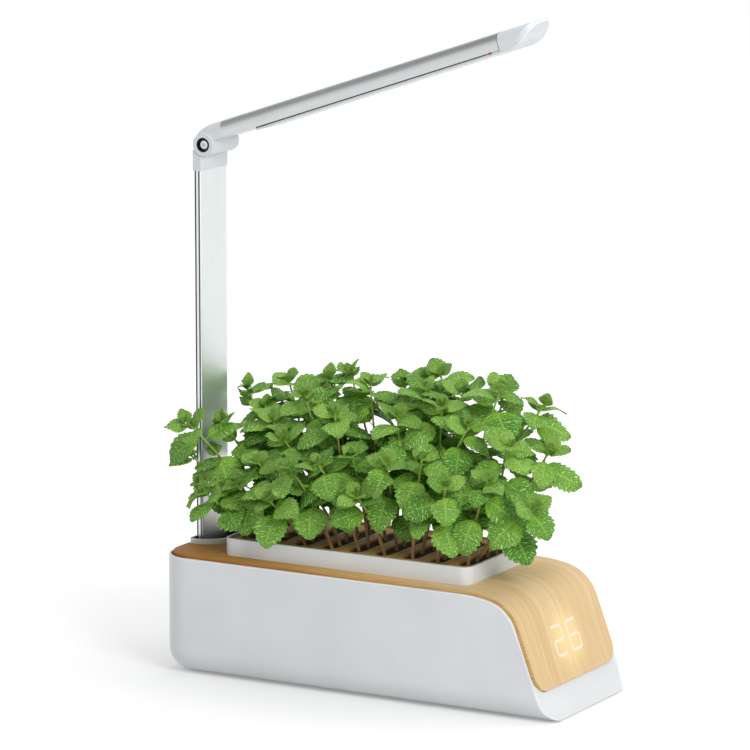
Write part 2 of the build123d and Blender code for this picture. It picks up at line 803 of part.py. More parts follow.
with BuildPart() as mast_cap:
    with BuildSketch(Plane.XY.offset(mast_top)):
        with Locations((mast_x, 0)):
            RectangleRounded(cap_thickness, cap_width, mast_corner)
    extrude(amount=hinge_height - mast_top - cradle_drop)
    with BuildSketch(hinge_plane):
        Circle(barrel_radius + cradle_gap)
    extrude(amount=cap_width, both=True, mode=Mode.SUBTRACT)
    with BuildSketch(hinge_plane):
        with Locations(Rotation(0, 0, -web_lean)):
            Rectangle(lug_web, web_reach, align=(Align.CENTER, Align.MAX))
        Circle(lug_radius)
    extrude(amount=lug_width / 2, both=True)
    with BuildSketch(hinge_plane):
        Circle(bolt_radius + bolt_gap)
    extrude(amount=lug_width, both=True, mode=Mode.SUBTRACT)
    with BuildSketch(Plane.XY.offset(mast_top)):
        with Locations((mast_x, 0)):
            Rectangle(
                mast_thickness - 2 * (mast_wall + fit_gap),
                mast_width - 2 * (mast_edge_web + fit_gap),
            )
    extrude(amount=-cap_skirt)
finish(mast_cap.part, "mast_cap")

# ---------------------------------------------------------------- hinge on the lamp arm
head_seat = barrel_length / 2 - bolt_recess_depth
nut_outer = barrel_length / 2 - 2 * plug_thickness + lug_gap
nut_seat = nut_outer - nut_height
window_from = -web_lean - arm_lift - web_half_angle - window_margin
window_to = -web_lean + arm_drop + web_half_angle + window_margin
window_reach = 3 * barrel_radius
cover_floor = 2 * arm_wall
neck_half = arm_width / 2
arm_top = arm_bottom + arm_height
lens_bottom = arm_bottom - lens_slit - lens_thickness
spigot_outline = arm_outline(arm_wall + fit_gap / 2, arm_bottom)
neck_outline = arm_outline(0, -2 * barrel_radius)
# The neck's top runs down on an arc that meets the barrel smoothly.
neck_radius = arm_top**2 / (2 * (arm_top - barrel_radius))
neck_sweep = degrees(atan2(barrel_radius, neck_radius - arm_top))


def below(angle):
    """A point out from the hinge, at an angle from straight down towards the front."""
    return (window_reach * sin(radians(angle)), -window_reach * cos(radians(angle)))


# The barrel has a domed far end.
with BuildPart() as barrel:
    with BuildSketch(hinge_plane):
        Circle(barrel_radius)
    extrude(amount=barrel_length / 2, both=True)
    fillet(barrel.faces().sort_by(Axis.Y)[-1].edges(), barrel_dome)

with BuildPart() as arm_knuckle:
    # Neck from the barrel up to the metal shell.
    with BuildSketch(arm_plane):
        with BuildLine():
            shoulder = JernArc((barrel_radius, arm_top), (-1, 0), neck_radius, neck_sweep)
            Polyline(
                shoulder @ 1,
                (0, 0),
                (barrel_radius, arm_bottom),
                (shell_start, arm_bottom),
                (shell_start, arm_top),
                shoulder @ 0,
            )
        make_face()
    extrude(amount=neck_half, both=True)
    with BuildSketch(arm_section(-2 * barrel_radius)):
        add(neck_outline)
    extrude(amount=2 * barrel_radius + shell_start, mode=Mode.INTERSECT)
    # Plug and floor inside the start of the metal shell.
    with BuildSketch(arm_section(shell_start)):
        add(spigot_outline)
    extrude(amount=neck_overlap)
    with BuildSketch(arm_section(shell_start)):
        with Locations((0, arm_bottom)):
            Rectangle(
                arm_width - 2 * arm_wall - fit_gap,
                cover_floor,
                align=(Align.CENTER, Align.MIN),
            )
    extrude(amount=lens_start - shell_start - fit_gap)
    add(barrel.part)
    # Pocket for the lug and the window that lets the lug's web pass as the arm swings.
    with BuildSketch(hinge_plane):
        Circle(lug_radius + lug_gap)
        with BuildLine():
            Polyline(
                (0, 0),
                below(window_from),
                below((2 * window_from + window_to) / 3),
                below((window_from + 2 * window_to) / 3),
                below(window_to),
                close=True,
            )
        make_face()
    extrude(amount=cheek, both=True, mode=Mode.SUBTRACT)
    # Recesses at both ends and the bore for the bolt.
    with BuildSketch(hinge_plane.offset(head_seat)):
        Circle(bolt_recess_radius)
    extrude(amount=barrel_length, mode=Mode.SUBTRACT)
    with BuildSketch(hinge_plane.offset(-nut_seat)):
        Circle(bolt_recess_radius)
    extrude(amount=-barrel_length, mode=Mode.SUBTRACT)
    with BuildSketch(hinge_plane):
        Circle(bolt_radius + bolt_gap)
    extrude(amount=barrel_length, both=True, mode=Mode.SUBTRACT)
finish(arm_knuckle.part, "arm_knuckle")

with BuildPart() as hinge_bolt:
    with BuildSketch(hinge_plane.offset(head_seat)):
        Circle(bolt_head_radius)
    extrude(amount=bolt_head_height)
    with BuildSketch(hinge_plane.offset(head_seat)):
        Circle(bolt_radius)
    extrude(amount=-(head_seat + nut_outer))
    with BuildSketch(hinge_plane.offset(head_seat + bolt_head_height)):
        RegularPolygon(bolt_hex, 6)
    extrude(amount=-bolt_head_height / 2, mode=Mode.SUBTRACT)
finish(hinge_bolt.part, "hinge_bolt")

with BuildPart() as hinge_nut:
    with BuildSketch(hinge_plane.offset(-nut_seat)):
        RegularPolygon(nut_radius, 6)
        Circle(bolt_radius, mode=Mode.SUBTRACT)
    extrude(amount=-nut_height)
finish(hinge_nut.part, "hinge_nut")

with BuildPart() as friction_washers:
    for side in (-1, 1):
        with BuildSketch(hinge_plane.offset(side * lug_width / 2)):
            Circle(washer_radius)
            Circle(bolt_radius + bolt_gap, mode=Mode.SUBTRACT)
        extrude(amount=side * washer_thickness)
finish(friction_washers.part, "friction_washers")

with BuildPart() as hinge_plug:
    with BuildSketch(hinge_plane.offset(-barrel_length / 2)):
        Circle(bolt_recess_radius - bolt_gap)
    extrude(amount=plug_thickness)
    fillet(hinge_plug.faces().sort_by(Axis.Y)[-1].edges(), plug_edge)
finish(hinge_plug.part, "hinge_plug")

# ---------------------------------------------------------------- lamp arm
lamp_length = shell_end - lens_start
shell_outer = arm_outline(0, arm_bottom)
shell_inner = arm_outline(arm_wall, arm_bottom)
cap_outline = arm_outline(0, lens_bottom)
rib_out = arm_width / 2 - arm_wall - fit_gap
rib_top = arm_bottom + board_lift
tip_from = shell_end
tip_to = shell_end + cap_length
indicator_plane = Plane(
    origin=hinge + arm_axis * (tip_from + prow_start / 2) + arm_up * lens_bottom,
    x_dir=(0, 1, 0),
    z_dir=arm_up,
)

with BuildPart() as arm_shell:
    with BuildSketch(arm_section(shell_start)):
        add(shell_outer)
        add(shell_inner, mode=Mode.SUBTRACT)
    extrude(amount=shell_end - shell_start)
finish(arm_shell.part, "arm_shell")

with BuildPart() as arm_tip_cap:
    with BuildSketch(arm_section(tip_from)):
        add(cap_outline)
    extrude(amount=cap_length)
    with BuildSketch(arm_plane):
        with BuildLine():
            sweep_up = Bezier(
                (tip_from + prow_start, lens_bottom),
                (tip_from + prow_hold, lens_bottom),
                (tip_from + prow_turn, arm_bottom + prow_rise),
                (tip_to, arm_top - prow_nose),
            )
            Polyline(
                sweep_up @ 1,
                (tip_to + prow_nose, arm_top - prow_nose),
                (tip_to + prow_nose, lens_bottom - prow_nose),
                (tip_from + prow_start, lens_bottom - prow_nose),
                sweep_up @ 0,
            )
        make_face()
    extrude(amount=arm_width, both=True, mode=Mode.SUBTRACT)
    with BuildSketch(Plane(origin=hinge + arm_axis * tip_to, x_dir=arm_axis, z_dir=arm_up)):
        Rectangle(2 * cap_length, arm_width + 2 * prow_nose)
        RectangleRounded(
            4 * cap_length,
            arm_width,
            prow_round,
            align=(Align.MAX, Align.CENTER),
            mode=Mode.SUBTRACT,
        )
    extrude(amount=arm_width, both=True, mode=Mode.SUBTRACT)
    with BuildSketch(arm_section(tip_from)):
        add(spigot_outline)
        with Locations((0, arm_bottom)):
            Rectangle(arm_width, 2 * board_lift, mode=Mode.SUBTRACT)
    extrude(amount=-neck_overlap)
    with BuildSketch(arm_section(tip_from - neck_overlap)):
        with Locations((0, arm_bottom)):
            Rectangle(
                arm_width - 2 * (arm_wall + fit_gap + lens_rib),
                arm_height - lens_rib,
                align=(Align.CENTER, Align.MIN),
            )
    extrude(amount=2 * neck_overlap, mode=Mode.SUBTRACT)
    with BuildSketch(indicator_plane):
        Circle(indicator_radius)
    extrude(amount=indicator_radius, mode=Mode.SUBTRACT)
finish(arm_tip_cap.part, "arm_tip_cap")

with BuildPart() as arm_indicator:
    with BuildSketch(indicator_plane):
        Circle(indicator_radius)
    extrude(amount=indicator_radius)
finish(arm_indicator.part, "arm_indicator")

with BuildPart() as arm_lens:
    with BuildSketch(arm_section(lens_start)):
        with Locations((0, lens_bottom)):
            Rectangle(arm_width - 2 * fit_gap, lens_thickness, align=(Align.CENTER, Align.MIN))
            Rectangle(
                2 * rib_out,
                rib_top - lens_bottom,
                align=(Align.CENTER, Align.MIN),
            )
        with Locations((0, lens_bottom + lens_thickness)):
            Rectangle(
                2 * (rib_out - lens_rib),
                arm_height,
                align=(Align.CENTER, Align.MIN),
                mode=Mode.SUBTRACT,
            )
    extrude(amount=lamp_length - fit_gap)
finish(arm_lens.part, "arm_lens")

led_run = lamp_length - neck_overlap - fit_gap - 2 * lens_rib
led_plane = Plane(
    origin=hinge + arm_axis * (lens_start + led_run / 2) + arm_up * rib_top,
    x_dir=arm_axis,
    z_dir=arm_up,
)
with BuildPart() as led_board:
    with BuildSketch(led_plane):
        Rectangle(led_run, 2 * rib_out)
    extrude(amount=led_board_thickness)
finish(led_board.part, "led_board")

with BuildPart() as led_chips:
    with BuildSketch(led_plane):
        with GridLocations(led_run / led_columns, led_row_spacing, led_columns, led_rows):
            Rectangle(led_size, led_size)
    extrude(amount=-led_height)
finish(led_chips.part, "led_chips")

# ---------------------------------------------------------------- lift-out growing tray
def slot_places():
    """The slots of the planting board, in a row along the tray."""
    return GridLocations(slot_pitch, 0, slot_count, 1)


with BuildPart() as planting_tray:
    with BuildSketch(Plane.XY.offset(deck_top)):
        with Locations((tray_centre, 0)):
            RectangleRounded(tray_length, tray_width, tray_corner_radius)
    extrude(amount=tray_rim)
    fillet(planting_tray.faces().sort_by(Axis.Z)[-1].edges(), tray_edge)
    with BuildSketch(Plane.XY.offset(basin_floor)):
        with Locations((tray_centre, 0)):
            RectangleRounded(basin_length, basin_width, tray_corner_radius - basin_gap)
    extrude(amount=basin_depth)
    with BuildSketch(Plane.XY.offset(board_under)):
        with Locations((tray_centre, 0)):
            RectangleRounded(
                tray_length - 2 * tray_wall,
                tray_width - 2 * tray_wall,
                tray_corner_radius - tray_wall,
            )
    extrude(amount=tray_rim, mode=Mode.SUBTRACT)
    with BuildSketch(Plane.XY.offset(basin_floor + tray_wall)):
        with Locations((tray_centre, 0)):
            RectangleRounded(
                basin_length - 2 * tray_wall,
                basin_width - 2 * tray_wall,
                tray_corner_radius - basin_gap - tray_wall,
            )
    extrude(amount=basin_depth + tray_rim, mode=Mode.SUBTRACT)
    with BuildSketch(Plane.XY.offset(basin_floor)):
        with Locations((tray_centre, 0)):
            with GridLocations(slot_pitch, 0, slot_count - 1, 1):
                SlotOverall(drain_length, drain_width, rotation=90)
    extrude(amount=tray_wall, mode=Mode.SUBTRACT)
finish(planting_tray.part, "planting_tray")

with BuildPart() as planting_board:
    with BuildSketch(Plane.XY.offset(board_under)):
        with Locations((tray_centre, 0)):
            RectangleRounded(
                tray_length - 2 * (tray_wall + board_gap),
                tray_width - 2 * (tray_wall + board_gap),
                tray_corner_radius - tray_wall - board_gap,
            )
            with slot_places():
                SlotOverall(slot_length, slot_width, rotation=90, mode=Mode.SUBTRACT)
    extrude(amount=board_thickness)
    fillet(planting_board.faces().sort_by(Axis.Z)[-1].edges(), board_edge)
finish(planting_board.part, "planting_board")

with BuildPart() as grow_sponges:
    with BuildSketch(Plane.XY.offset(sponge_bottom)):
        with Locations((tray_centre, 0)):
            with slot_places():
                SlotOverall(slot_length - 2 * sponge_gap, slot_width - 2 * sponge_gap, rotation=90)
    extrude(amount=sponge_top - sponge_bottom)
finish(grow_sponges.part, "grow_sponges")

# ---------------------------------------------------------------- mint, one piece for each slot
def leafy_block(from_x, to_x, outline):
    """Foliage with rounded edges between two ends, its outline across the tray given as y and z."""
    with BuildPart() as block:
        with BuildSketch(Plane.YZ.offset(from_x)):
            with BuildLine():
                Polyline(outline, close=True)
            make_face()
        extrude(amount=to_x - from_x)
        fillet(block.edges(), crown_edge)
    return block.part


def crown_outline(top):
    """The outline of a crown that is high at the back and slopes down to the near side."""
    near, far = -crown_width / 2, crown_width / 2
    near_top = crown_base + (top - crown_base) * crown_near_share
    far_top = crown_base + (top - crown_base) * crown_far_share
    return [
        (near, crown_base), (near, near_top), (ridge_near, top),
        (ridge_far, top), (far, far_top), (far, crown_base),
    ]


for row in range(slot_count):
    row_x = tray_centre + (row - (slot_count - 1) / 2) * slot_pitch
    half = (slot_pitch - crown_gap) / 2
    crown_top = crown_low + (crown_high - crown_low) * row / (slot_count - 1)
    crown_from = row_x - half - (crown_reach_rear if row == 0 else 0)
    crown_to = row_x + half + (shoulder_start if row == slot_count - 1 else 0)
    with BuildPart() as mint_row:
        add(leafy_block(crown_from, crown_to, crown_outline(crown_top)))
        if row == 0:
            near, far = -crown_width / 2, -mast_width / 2 - spray_mast_gap
            spray_outline = [(near, spray_low), (near, spray_near_top), (far, spray_high), (far, spray_low)]
            add(leafy_block(crown_from - spray_length, row_x, spray_outline))
        if row == slot_count - 1:
            add(leafy_block(row_x, row_x + half + crown_reach_front, crown_outline(shoulder_top)))
        with BuildSketch(Plane.XY.offset(sponge_top)):
            with Locations((row_x, 0)):
                with GridLocations(0, stem_spacing, 1, stems_per_row):
                    Circle(stem_radius)
        extrude(amount=crown_base + crown_edge - sponge_top)
    finish(mint_row.part, f"mint_row_{row + 1}")
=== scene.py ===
"""Dresses the countertop hydroponic garden.

It gives every piece its finish, grows the mint, adds the thin trim, and sets up light and camera."""

import bpy
import numpy as np
from mathutils import Matrix, Vector


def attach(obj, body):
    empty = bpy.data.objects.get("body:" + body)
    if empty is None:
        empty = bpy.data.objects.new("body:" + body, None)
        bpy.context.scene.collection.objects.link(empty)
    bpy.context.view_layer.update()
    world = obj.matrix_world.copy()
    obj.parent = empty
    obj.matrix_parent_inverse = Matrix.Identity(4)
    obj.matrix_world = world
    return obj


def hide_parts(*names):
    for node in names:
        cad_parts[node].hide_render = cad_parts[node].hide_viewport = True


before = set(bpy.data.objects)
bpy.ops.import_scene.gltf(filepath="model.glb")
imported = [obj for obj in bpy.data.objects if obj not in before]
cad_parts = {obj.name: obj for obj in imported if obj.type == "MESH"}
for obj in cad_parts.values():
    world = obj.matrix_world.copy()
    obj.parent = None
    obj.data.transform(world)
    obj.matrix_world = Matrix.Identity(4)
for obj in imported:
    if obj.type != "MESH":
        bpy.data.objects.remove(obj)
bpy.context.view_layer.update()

MM = 0.001


# ---------------------------------------------------------------- colour and nodes
def linear(hex_colour):
    """The linear colour, with alpha 1, of an sRGB hex value."""
    channels = [int(hex_colour[place:place + 2], 16) / 255 for place in (1, 3, 5)]
    return tuple(c / 12.92 if c <= 0.04045 else ((c + 0.055) / 1.055) ** 2.4 for c in channels) + (1.0,)


def feed(node, inputs):
    """Give a node's inputs their values, or the outputs that feed them."""
    for name, value in inputs.items():
        if isinstance(value, bpy.types.NodeSocket):
            node.id_data.links.new(value, node.inputs[name])
        else:
            node.inputs[name].default_value = value


def add(tree, kind, inputs=None, out=0, stops=None, **settings):
    """Add a node with its settings and links, and return one of its outputs.

    Stops are the (place, colour) pairs of a colour ramp, a number standing for a grey of that level."""
    node = tree.nodes.new("ShaderNode" + kind)
    for name, value in settings.items():
        setattr(node, name, value)
    feed(node, inputs or {})
    for number, (place, colour) in enumerate(stops or ()):
        marks = node.color_ramp.elements
        mark = marks[number] if number < len(marks) else marks.new(place)
        mark.position = place
        mark.color = colour if isinstance(colour, tuple) else (colour, colour, colour, 1.0)
    return node.outputs[out]


def new_material(name, **constants):
    """A material whose Principled shader takes the given constant values on its own sockets."""
    made = bpy.data.materials.new(name)
    made.use_nodes = True
    shader = made.node_tree.nodes["Principled BSDF"]
    feed(shader, {socket.replace("_", " "): value for socket, value in constants.items()})
    return made, made.node_tree, shader


def per_metre(size_mm):
    """The scale of a pattern whose features are this many millimetres across."""
    return 1000 / size_mm


# ---------------------------------------------------------------- plastics
def moulded_abs(name, shade, colour, roughness, grain_mm=0.9, depth_mm=0.02, well=None):
    """ABS from a spark-eroded mould: one even colour, its gloss softened by a fine grain.

    The grain is drawn about three times as coarse as the real one, so that it shows. In a well the shade
    is painted black: all that lies within its radius of its place, measured across the well, and in front
    of its rear end."""
    made, tree, shader = new_material(name, IOR=1.52)
    where = add(tree, "TexCoord", out="Object")
    cloud = add(tree, "TexNoise", {"Vector": where, "Scale": per_metre(70), "Detail": 2})
    grain = add(tree, "TexNoise", {"Vector": where, "Scale": per_metre(grain_mm), "Detail": 4})
    tint = add(tree, "ValToRGB", {0: cloud}, stops=[(0.3, linear(shade)), (0.7, linear(colour))])
    if well:
        reach = add(tree, "VectorMath", {0: where, 1: well["place"]}, operation="SUBTRACT")
        aside = add(tree, "VectorMath", {0: reach, 1: well["across"]}, operation="MULTIPLY")
        away = add(tree, "VectorMath", {0: aside}, "Value", operation="LENGTH")
        length = add(tree, "SeparateXYZ", {0: where}, 0)
        inside = add(tree, "Math", {
            0: add(tree, "Math", {0: away, 1: well["radius"]}, operation="LESS_THAN"),
            1: add(tree, "Math", {0: length, 1: well["rear"]}, operation="GREATER_THAN"),
        }, operation="MULTIPLY")
        # Painted shade: inside the well the plastic is coloured near-black.
        tint = add(tree, "Mix", {0: inside, 6: tint, 7: linear("#26282a")}, 2, data_type="RGBA")
    feed(shader, {
        "Base Color": tint,
        "Roughness": add(
            tree, "Math", {0: grain, 1: 0.12, 2: roughness - 0.06}, operation="MULTIPLY_ADD",
        ),
        "Normal": add(tree, "Bump", {"Height": grain, "Distance": depth_mm * MM, "Strength": 0.5}),
    })
    return made


def opal_acrylic():
    """Extruded opal acrylic: milky, even and smooth, because it scatters all light inside it.

    Its faint clouds are 8 mm across, as in a real extrusion."""
    made, tree, shader = new_material("extruded_opal_acrylic", IOR=1.49)
    haze = add(tree, "TexNoise", {
        "Vector": add(tree, "TexCoord", out="Object"), "Scale": per_metre(8), "Detail": 2,
    })
    feed(shader, {
        "Base Color": add(
            tree, "ValToRGB", {0: haze}, stops=[(0.3, linear("#d2d8d7")), (0.7, linear("#dce1e0"))],
        ),
        "Roughness": add(tree, "Math", {0: haze, 1: 0.08, 2: 0.22}, operation="MULTIPLY_ADD"),
    })
    return made


def lit_bars():
    """Light-emitting bars behind a frosted film: warm white, faintly mottled by the film.

    The frosting is drawn 1.4 mm wide, many times the real one, so that it shows."""
    made, tree, shader = new_material("frosted_light_film", Emission_Strength=0.04, IOR=1.49)
    mottle = add(tree, "TexNoise", {
        "Vector": add(tree, "TexCoord", out="Object"), "Scale": per_metre(1.4), "Detail": 2,
    })
    feed(shader, {
        "Base Color": add(
            tree, "ValToRGB", {0: mottle}, stops=[(0.3, linear("#f2e2c6")), (0.7, linear("#f7ecd6"))],
        ),
        "Emission Color": add(
            tree, "ValToRGB", {0: mottle}, stops=[(0.3, linear("#ffe9c0")), (0.7, linear("#fff2da"))],
        ),
        "Roughness": add(tree, "Math", {0: mottle, 1: 0.1, 2: 0.4}, operation="MULTIPLY_ADD"),
    })
    return made


def speckled(name, dark, light, size_mm, roughness, depth_mm=0.05, **constants):
    """A moulded, etched or foamed surface whose two tones mix in spots of a given size in mm, the light
    ones slightly raised and duller."""
    made, tree, shader = new_material(name, **constants)
    spots = add(tree, "TexNoise", {
        "Vector": add(tree, "TexCoord", out="Object"), "Scale": per_metre(size_mm), "Detail": 4,
    })
    feed(shader, {
        "Base Color": add(
            tree, "ValToRGB", {0: spots}, stops=[(0.35, linear(dark)), (0.65, linear(light))],
        ),
        "Roughness": add(
            tree, "Math", {0: spots, 1: 0.15, 2: roughness - 0.07}, operation="MULTIPLY_ADD",
        ),
        "Normal": add(tree, "Bump", {"Height": spots, "Distance": depth_mm * MM, "Strength": 0.6}),
    })
    return made


# ---------------------------------------------------------------- wood
# In metres: the middle of the lit figures, and where along the base the painted shade of the plants starts
# and fades out.
DISPLAY_CENTRE = (0.1665, 0.0, 0.0575)
PLANT_SHADE_START, PLANT_SHADE_END = -0.19, 0.11


def ash_veneer():
    """Matt-lacquered ash veneer, sliced along the trunk: pale straight grain along the deck and down its
    sloping front.

    Its cut edges are browner, its rear end is painted darker and browner as the shade of the plants
    over it, and the light box behind it warms the wood around the lit bars."""
    made, tree, shader = new_material("sliced_ash_veneer", IOR=1.5)
    where = add(tree, "TexCoord", out="Object")
    wander = add(tree, "TexNoise", {"Vector": where, "Scale": per_metre(95), "Detail": 2})
    sway = add(tree, "CombineXYZ", {
        1: add(tree, "Math", {0: wander, 1: 18 * MM, 2: -9 * MM}, operation="MULTIPLY_ADD"),
    })
    grain = add(tree, "VectorMath", {0: where, 1: sway}, operation="ADD")
    # Growth rings 7 mm wide, their early wood 1.3 mm and the pores 0.6 mm, all drawn out lengthwise. Real
    # pores are half as wide, and wouldn't show.
    rings, lines, pores = (
        add(tree, "TexNoise", {"Detail": detail, "Scale": 1.0, "Vector": add(tree, "Mapping", {
            "Vector": grain, "Scale": (per_metre(long), per_metre(wide), per_metre(long)),
        })})
        for long, wide, detail in ((420, 7, 2), (170, 1.3, 3), (30, 0.6, 2))
    )
    body = add(tree, "ValToRGB", {0: rings}, stops=[
        (0.34, linear("#e4bf88")), (0.46, linear("#e6c48e")),
        (0.56, linear("#e9ca97")), (0.68, linear("#eed3a4")),
    ])
    early = add(tree, "ValToRGB", {0: lines}, stops=[(0.34, linear("#dcb47a")), (0.62, linear("#edd2a4"))])
    lined = add(tree, "Mix", {0: 0.5, 6: body, 7: early}, 2, data_type="RGBA")
    pitted = add(tree, "ValToRGB", {0: pores}, stops=[(0.3, 0.84), (0.55, 1.0)])
    face = add(tree, "Mix", {0: 0.6, 6: lined, 7: pitted}, 2, data_type="RGBA", blend_type="MULTIPLY")
    # The edge of the sheet shows its layers, each about a millimetre thick.
    layers = add(tree, "TexNoise", {"Detail": 2, "Scale": 1.0, "Vector": add(
        tree, "Mapping", {"Vector": where, "Scale": (per_metre(40), per_metre(40), per_metre(1.1))},
    )})
    plies = add(tree, "ValToRGB", {0: layers}, stops=[(0.35, linear("#c79b5e")), (0.65, linear("#dcb87a"))])
    facing = add(tree, "SeparateXYZ", {0: add(tree, "NewGeometry", out="Normal")}, 1)
    sideways = add(tree, "Math", {0: facing}, operation="ABSOLUTE")
    at_edge = add(tree, "ValToRGB", {0: sideways}, stops=[(0.55, 0.0), (0.85, 1.0)])
    unshaded_wood = add(tree, "Mix", {0: at_edge, 6: face, 7: plies}, 2, data_type="RGBA")
    # Painted shade: the sheet is darker and browner at the mast's end, under the plants, and fades to its
    # own pale colour by the tray's middle.
    length = add(tree, "MapRange", {
        0: add(tree, "SeparateXYZ", {0: where}, 0), 1: PLANT_SHADE_START, 2: PLANT_SHADE_END,
    })
    painted_plant_shade = add(tree, "ValToRGB", {0: length}, stops=[
        (0.0, linear("#c69c48")), (0.3, linear("#d4b062")),
        (0.72, linear("#fff4d2")), (0.9, linear("#ffffff")),
    ])
    wood = add(tree, "Mix", {0: 1.0, 6: unshaded_wood, 7: painted_plant_shade}, 2, data_type="RGBA", blend_type="MULTIPLY")
    # The glow is strongest between the figures and fades out 36 mm from them.
    reach = add(tree, "VectorMath", {0: where, 1: DISPLAY_CENTRE}, operation="SUBTRACT")
    away = add(tree, "VectorMath", {0: reach}, "Value", operation="LENGTH")
    near = add(tree, "Math", {0: away, 1: per_metre(36)}, operation="MULTIPLY")
    glow = add(tree, "ValToRGB", {0: near}, stops=[(0.0, 0.7), (0.4, 0.55), (0.75, 0.15), (1.0, 0.0)])
    feed(shader, {
        "Base Color": add(tree, "Mix", {0: glow, 6: wood, 7: linear("#ffe2a4")}, 2, data_type="RGBA"),
        "Emission Color": linear("#ffd98c"),
        "Emission Strength": add(tree, "Math", {0: glow, 1: 0.12}, operation="MULTIPLY"),
        "Roughness": add(tree, "Math", {0: pores, 1: 0.2, 2: 0.52}, operation="MULTIPLY_ADD"),
        "Normal": add(tree, "Bump", {"Height": pores, "Distance": 0.05 * MM, "Strength": 0.5}),
    })
    return made


def oiled_beech():
    """Sawn and oiled beech: brown, with its grain along each slat and darker where water stands.

    The lines of its grain are 1.6 mm wide, about three times the real ones, so that they show."""
    made, tree, shader = new_material("oiled_beech", IOR=1.5)
    where = add(tree, "TexCoord", out="Object")
    grain = add(tree, "TexNoise", {"Detail": 3, "Scale": 1.0, "Vector": add(
        tree, "Mapping", {"Vector": where, "Scale": (per_metre(1.6), per_metre(45), per_metre(1.6))},
    )})
    stain = add(tree, "TexNoise", {"Vector": where, "Scale": per_metre(26), "Detail": 3})
    body = add(tree, "ValToRGB", {0: grain}, stops=[
        (0.3, linear("#c08a40")), (0.5, linear("#e0aa52")), (0.7, linear("#f0c068")),
    ])
    damp = add(tree, "ValToRGB", {0: stain}, stops=[(0.38, 0.75), (0.6, 1.0)])
    feed(shader, {
        "Base Color": add(
            tree, "Mix", {0: 0.8, 6: body, 7: damp}, 2, data_type="RGBA", blend_type="MULTIPLY",
        ),
        "Roughness": add(tree, "Math", {0: grain, 1: 0.2, 2: 0.5}, operation="MULTIPLY_ADD"),
        "Normal": add(tree, "Bump", {"Height": grain, "Distance": 0.12 * MM, "Strength": 0.6}),
    })
    return made


# ---------------------------------------------------------------- metals
# How far the arm rises from the level at rest.
ARM_TILT = np.radians(18.85)


def worked_metal(name, dark, light, lines_mm, roughness, spread, depth_mm, turn=0.0):
    """Metal with fine lines from brushing or turning, which soften its reflections.

    The lines' size in mm is given along each axis, after a turn about Y. They are drawn about three
    times as wide as the real ones, so that they show."""
    made, tree, shader = new_material(name, Metallic=1.0)
    turned = add(tree, "Mapping", {
        "Vector": add(tree, "TexCoord", out="Object"), "Rotation": (0.0, turn, 0.0),
    })
    lines = add(tree, "TexNoise", {"Detail": 3, "Scale": 1.0, "Vector": add(
        tree, "Mapping", {"Vector": turned, "Scale": tuple(per_metre(size) for size in lines_mm)},
    )})
    feed(shader, {
        "Base Color": add(tree, "ValToRGB", {0: lines}, stops=[(0.3, linear(dark)), (0.7, linear(light))]),
        "Roughness": add(tree, "Math", {0: lines, 1: spread, 2: roughness}, operation="MULTIPLY_ADD"),
        "Normal": add(tree, "Bump", {"Height": lines, "Distance": depth_mm * MM, "Strength": 0.4}),
    })
    return made


# In metres: the mast's middle along the base, and how far out its grooved edges are.
MAST_X, MAST_EDGE = -0.179, 0.0207


def mast_metal():
    """Extruded aluminium, satin polished and clear anodised: it blurs what it mirrors. Its edge grooves are
    painted dark grey, as the shade that falls in them.

    The lines of the die are drawn 0.5 mm wide, a few times the real ones, so that they show."""
    made, tree, shader = new_material("polished_aluminium_extrusion", Metallic=1.0)
    where = add(tree, "TexCoord", out="Object")
    lines = add(tree, "TexNoise", {"Detail": 3, "Scale": 1.0, "Vector": add(
        tree, "Mapping", {"Vector": where, "Scale": (per_metre(0.5), per_metre(0.5), per_metre(120))},
    )})
    bright = add(tree, "ValToRGB", {0: lines}, stops=[(0.3, linear("#e0e5e4")), (0.7, linear("#e5eae9"))])
    # The grooves lie 1.1 to 2.4 mm from the middle of each edge.
    length = add(tree, "SeparateXYZ", {0: where}, 0)
    offset = add(tree, "Math", {0: length, 1: MAST_X}, operation="SUBTRACT")
    aside = add(tree, "Math", {0: offset}, operation="ABSOLUTE")
    inside = add(tree, "Math", {0: aside, 1: per_metre(3.3)}, operation="MULTIPLY")
    groove = add(tree, "ValToRGB", {0: inside}, stops=[(0.3, 0.0), (0.35, 1.0), (0.72, 1.0), (0.78, 0.0)])
    out = add(tree, "Math", {0: add(tree, "SeparateXYZ", {0: where}, 1)}, operation="ABSOLUTE")
    at_edge = add(tree, "Math", {0: out, 1: MAST_EDGE - 0.2 * MM}, operation="GREATER_THAN")
    painted_groove_shade = add(tree, "Math", {0: groove, 1: at_edge}, operation="MULTIPLY")
    # Painted shade: the grooves along the edges are coloured dark grey.
    feed(shader, {
        "Base Color": add(tree, "Mix", {0: painted_groove_shade, 6: bright, 7: linear("#6a706e")}, 2, data_type="RGBA"),
        "Roughness": add(tree, "Math", {0: lines, 1: 0.06, 2: 0.39}, operation="MULTIPLY_ADD"),
        "Normal": add(tree, "Bump", {"Height": lines, "Distance": 0.003 * MM, "Strength": 0.3}),
    })
    return made


# ---------------------------------------------------------------- mint
# Teeth along each edge of a leaf, with a side vein to each.
TEETH = 8


